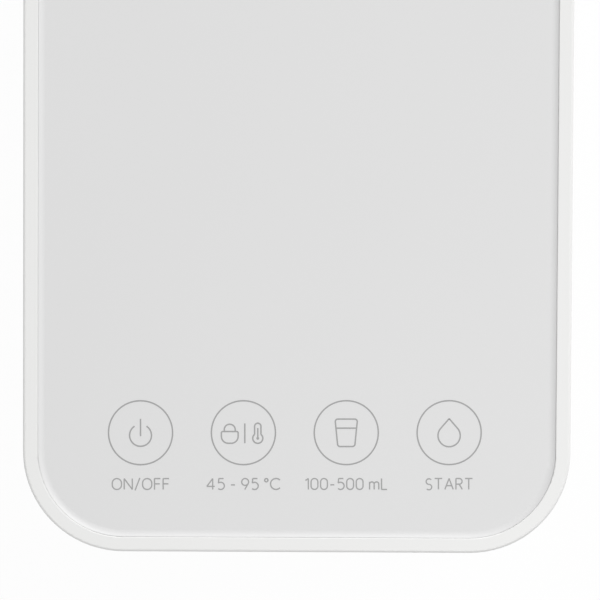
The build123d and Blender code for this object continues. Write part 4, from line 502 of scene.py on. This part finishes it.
dress(clear_wall("smoke_copolyester", "#E3E7E8", 0.04, ior=1.57, wave=45 * MM), "tank_shell")
dress(nylon, "tank_dock", "valve_body", "valve_nut", "valve_plunger", "valve_cage", "float_rod", "tank_float")

# Level marks
# Litres and half litres, printed in the grey ink of the panel on the right side of the tank: a long line
# and a figure for each litre, and a short line for each half.
LITRE_RISE = 67.6  # height of one litre in this tank
LITRES = 3
TANK_FLOOR = 3 * MM  # thickness of the floor
MARK_CAP = 4.5
MARK_GAP = 1.2
MARK_LINE = 0.55
LONG_MARK = 9.0
SHORT_MARK = 5.0
marks = bmesh.new()
for half in range(1, 2 * LITRES + 1):
    level = half * LITRE_RISE / 2
    draw(marks, (0, level), 0, SHORT_MARK if half % 2 else LONG_MARK, line=MARK_LINE)
    if half % 2 == 0:
        left, base = LONG_MARK + 2 * MARK_GAP, level - MARK_CAP / 2
        write(marks, f"{half // 2} L", MARK_CAP, MARK_GAP, left, base, line=MARK_LINE)
tank_low, tank_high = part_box("tank_shell")
foot = Vector((tank_high.x, (tank_low.y + tank_high.y) / 2, tank_low.z + TANK_FLOOR))
upright = Matrix.Translation(foot) @ Matrix.Rotation(pi / 2, 4, "Z") @ Matrix.Rotation(pi / 2, 4, "X")
printed("tank_level_marks", marks, upright, grey_ink, "tank")

# Valve spring
# A coil of stainless wire between the valve disc and the roof of the cage. It is squeezed while the tank
# stands in its seat and pushes the valve shut when the tank is lifted.
SPRING_TURNS = 5
SPRING_WIRE = 0.5 * MM  # radius
SPRING_STEPS = 24  # faces in a turn
WIRE_SIDES = 10
spring_low, spring_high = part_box("valve_spring")
coil = bmesh.new()
coil_radius = (spring_high.x - spring_low.x) / 2 - SPRING_WIRE
coil_middle = (spring_low + spring_high) / 2
coil_rise = spring_high.z - spring_low.z - 2 * SPRING_WIRE
upright = Matrix.Translation((coil_radius, 0, 0)) @ Matrix.Rotation(pi / 2, 4, "X")
wire = bmesh.ops.create_circle(
    coil, cap_ends=False, radius=SPRING_WIRE, segments=WIRE_SIDES, matrix=upright
)["verts"]
hoop = list({edge for vertex in wire for edge in vertex.link_edges})
steps = SPRING_TURNS * SPRING_STEPS
bmesh.ops.spin(
    coil, geom=wire + hoop, cent=(0, 0, 0), axis=(0, 0, 1), angle=SPRING_TURNS * 2 * pi, steps=steps,
    dvec=(0, 0, coil_rise / steps),
)
bmesh.ops.holes_fill(coil, edges=coil.edges[:], sides=WIRE_SIDES)
bmesh.ops.recalc_face_normals(coil, faces=coil.faces[:])
foot = Vector((coil_middle.x, coil_middle.y, spring_low.z + SPRING_WIRE))
bmesh.ops.translate(coil, verts=coil.verts, vec=foot)
mesh = bpy.data.meshes.new("valve_coil")
coil.to_mesh(mesh)
coil.free()
mesh.shade_smooth()
mesh.materials.append(spring_steel)
valve_coil = bpy.data.objects.new("valve_coil", mesh)
bpy.context.scene.collection.objects.link(valve_coil)
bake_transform(valve_coil)
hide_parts("valve_spring")

# Tank cover, flap and handle
# White ABS like the body: the cover drops into the tank, the flap opens on a steel pin and the bail
# handle lies flush round the front.
dress(white_abs, "tank_cover", "fill_flap", "carry_handle")

# Drip tray and grid
# A white ABS drawer under a stainless plate with punched slots, both lifted out for washing. The plate is
# brushed from side to side, so its highlights spread from front to back.
dress(white_abs, "drip_tray")
brushed_steel = brushed(
    "brushed_stainless_steel", "#D2D2D0", "#B6B6B4", 0.34, line=0.35 * MM, stretch=(60, 1, 1)
)
dress(brushed_steel, "drip_grid")

# Studio
# A wide white floor that keeps a faint shadow, a white surround, a large soft lamp behind on the right, a
# small soft box close over the front of the panel, and a weak low fill for the front and the left side.
FLOOR_HALF = 30.0
AMBIENT = 0.43
SHADOW_SHARE = 0.04  # how much of the floor's look comes from the light on it
LIT_SPOT = Vector((0, -85 * MM, 279 * MM))
LAMPS = (
    ("rear_lamp", 110.0, 3.0, (1.4, 2.6, 2.6)),  # name, watts, width and place
    ("soft_box", 0.9, 0.4, (0.20, -0.35, 0.95)),
    ("front_fill", 10.0, 1.2, (-2.0, -2.2, 0.45)),
)


def to_white(tree):
    """1 for rays from the camera, straight or by a mirror or glass, and 0 for light on the object."""
    path = add(tree, "LightPath").outputs
    direct, mirrored, through = (path[f"Is {ray} Ray"] for ray in ("Camera", "Glossy", "Transmission"))
    seen = add(tree, "Math", {0: direct, 1: mirrored}, operation="MAXIMUM").outputs[0]
    return add(tree, "Math", {0: seen, 1: through}, operation="MAXIMUM").outputs[0]


white_floor, tree = blank("white_floor")
lit = add(tree, "BsdfDiffuse", {"Color": linear("#F4F4F4")}).outputs[0]
glow = add(tree, "Emission", {"Color": linear("#FFFFFF"), "Strength": 1.0}).outputs[0]
share = add(tree, "Math", {0: to_white(tree), 1: 1 - SHADOW_SHARE}, operation="MULTIPLY").outputs[0]
add(tree, "OutputMaterial", {"Surface": add(tree, "MixShader", {0: share, 1: lit, 2: glow}).outputs[0]})
plane = bmesh.new()
bmesh.ops.create_grid(plane, x_segments=1, y_segments=1, size=FLOOR_HALF)
mesh = bpy.data.meshes.new("floor")
plane.to_mesh(mesh)
plane.free()
mesh.materials.append(white_floor)
floor = bpy.data.objects.new("floor", mesh)
bpy.context.scene.collection.objects.link(floor)

world = bpy.data.worlds.new("studio")
world.use_nodes = True
tree = world.node_tree
tree.nodes.clear()
soft = add(tree, "Background", {"Color": linear("#FFFFFF"), "Strength": AMBIENT}).outputs[0]
white = add(tree, "Background", {"Color": linear("#FFFFFF"), "Strength": 1.0}).outputs[0]
surround = add(tree, "MixShader", {0: to_white(tree), 1: soft, 2: white}).outputs[0]
add(tree, "OutputWorld", {"Surface": surround})
bpy.context.scene.world = world

for name, watts, width, place in LAMPS:
    lamp = bpy.data.lights.new(name, "AREA")
    lamp.shape = "DISK"
    lamp.size = width
    lamp.energy = watts
    stand = bpy.data.objects.new(name, lamp)
    stand.location = place
    stand.rotation_euler = (Vector(place) - LIT_SPOT).to_track_quat("Z", "Y").to_euler()
    bpy.context.scene.collection.objects.link(stand)

# Camera
# Almost straight above the front of the panel, with a long lens, as a catalogue detail is taken. It leans
# a little to the back and is rolled by a fraction of a degree.
AIM = Vector((0.7 * MM, -85.75 * MM, 279.5 * MM))
DISTANCE = 0.8
FIELD = 164.0 * MM  # width of the picture at the panel
SENSOR = 36.0
TILT = radians(2.42)
ROLL = radians(0.28)
lens = bpy.data.cameras.new("camera")
lens.sensor_width = SENSOR
lens.lens = SENSOR * DISTANCE / FIELD
camera = bpy.data.objects.new("camera", lens)
turn = Matrix.Rotation(-TILT, 4, "X") @ Matrix.Rotation(ROLL, 4, "Z")
camera.matrix_world = Matrix.Translation(AIM + Vector((0, sin(TILT), cos(TILT))) * DISTANCE) @ turn
bpy.context.scene.collection.objects.link(camera)
bpy.context.scene.camera = camera
bpy.context.scene.view_settings.view_transform = "Standard"
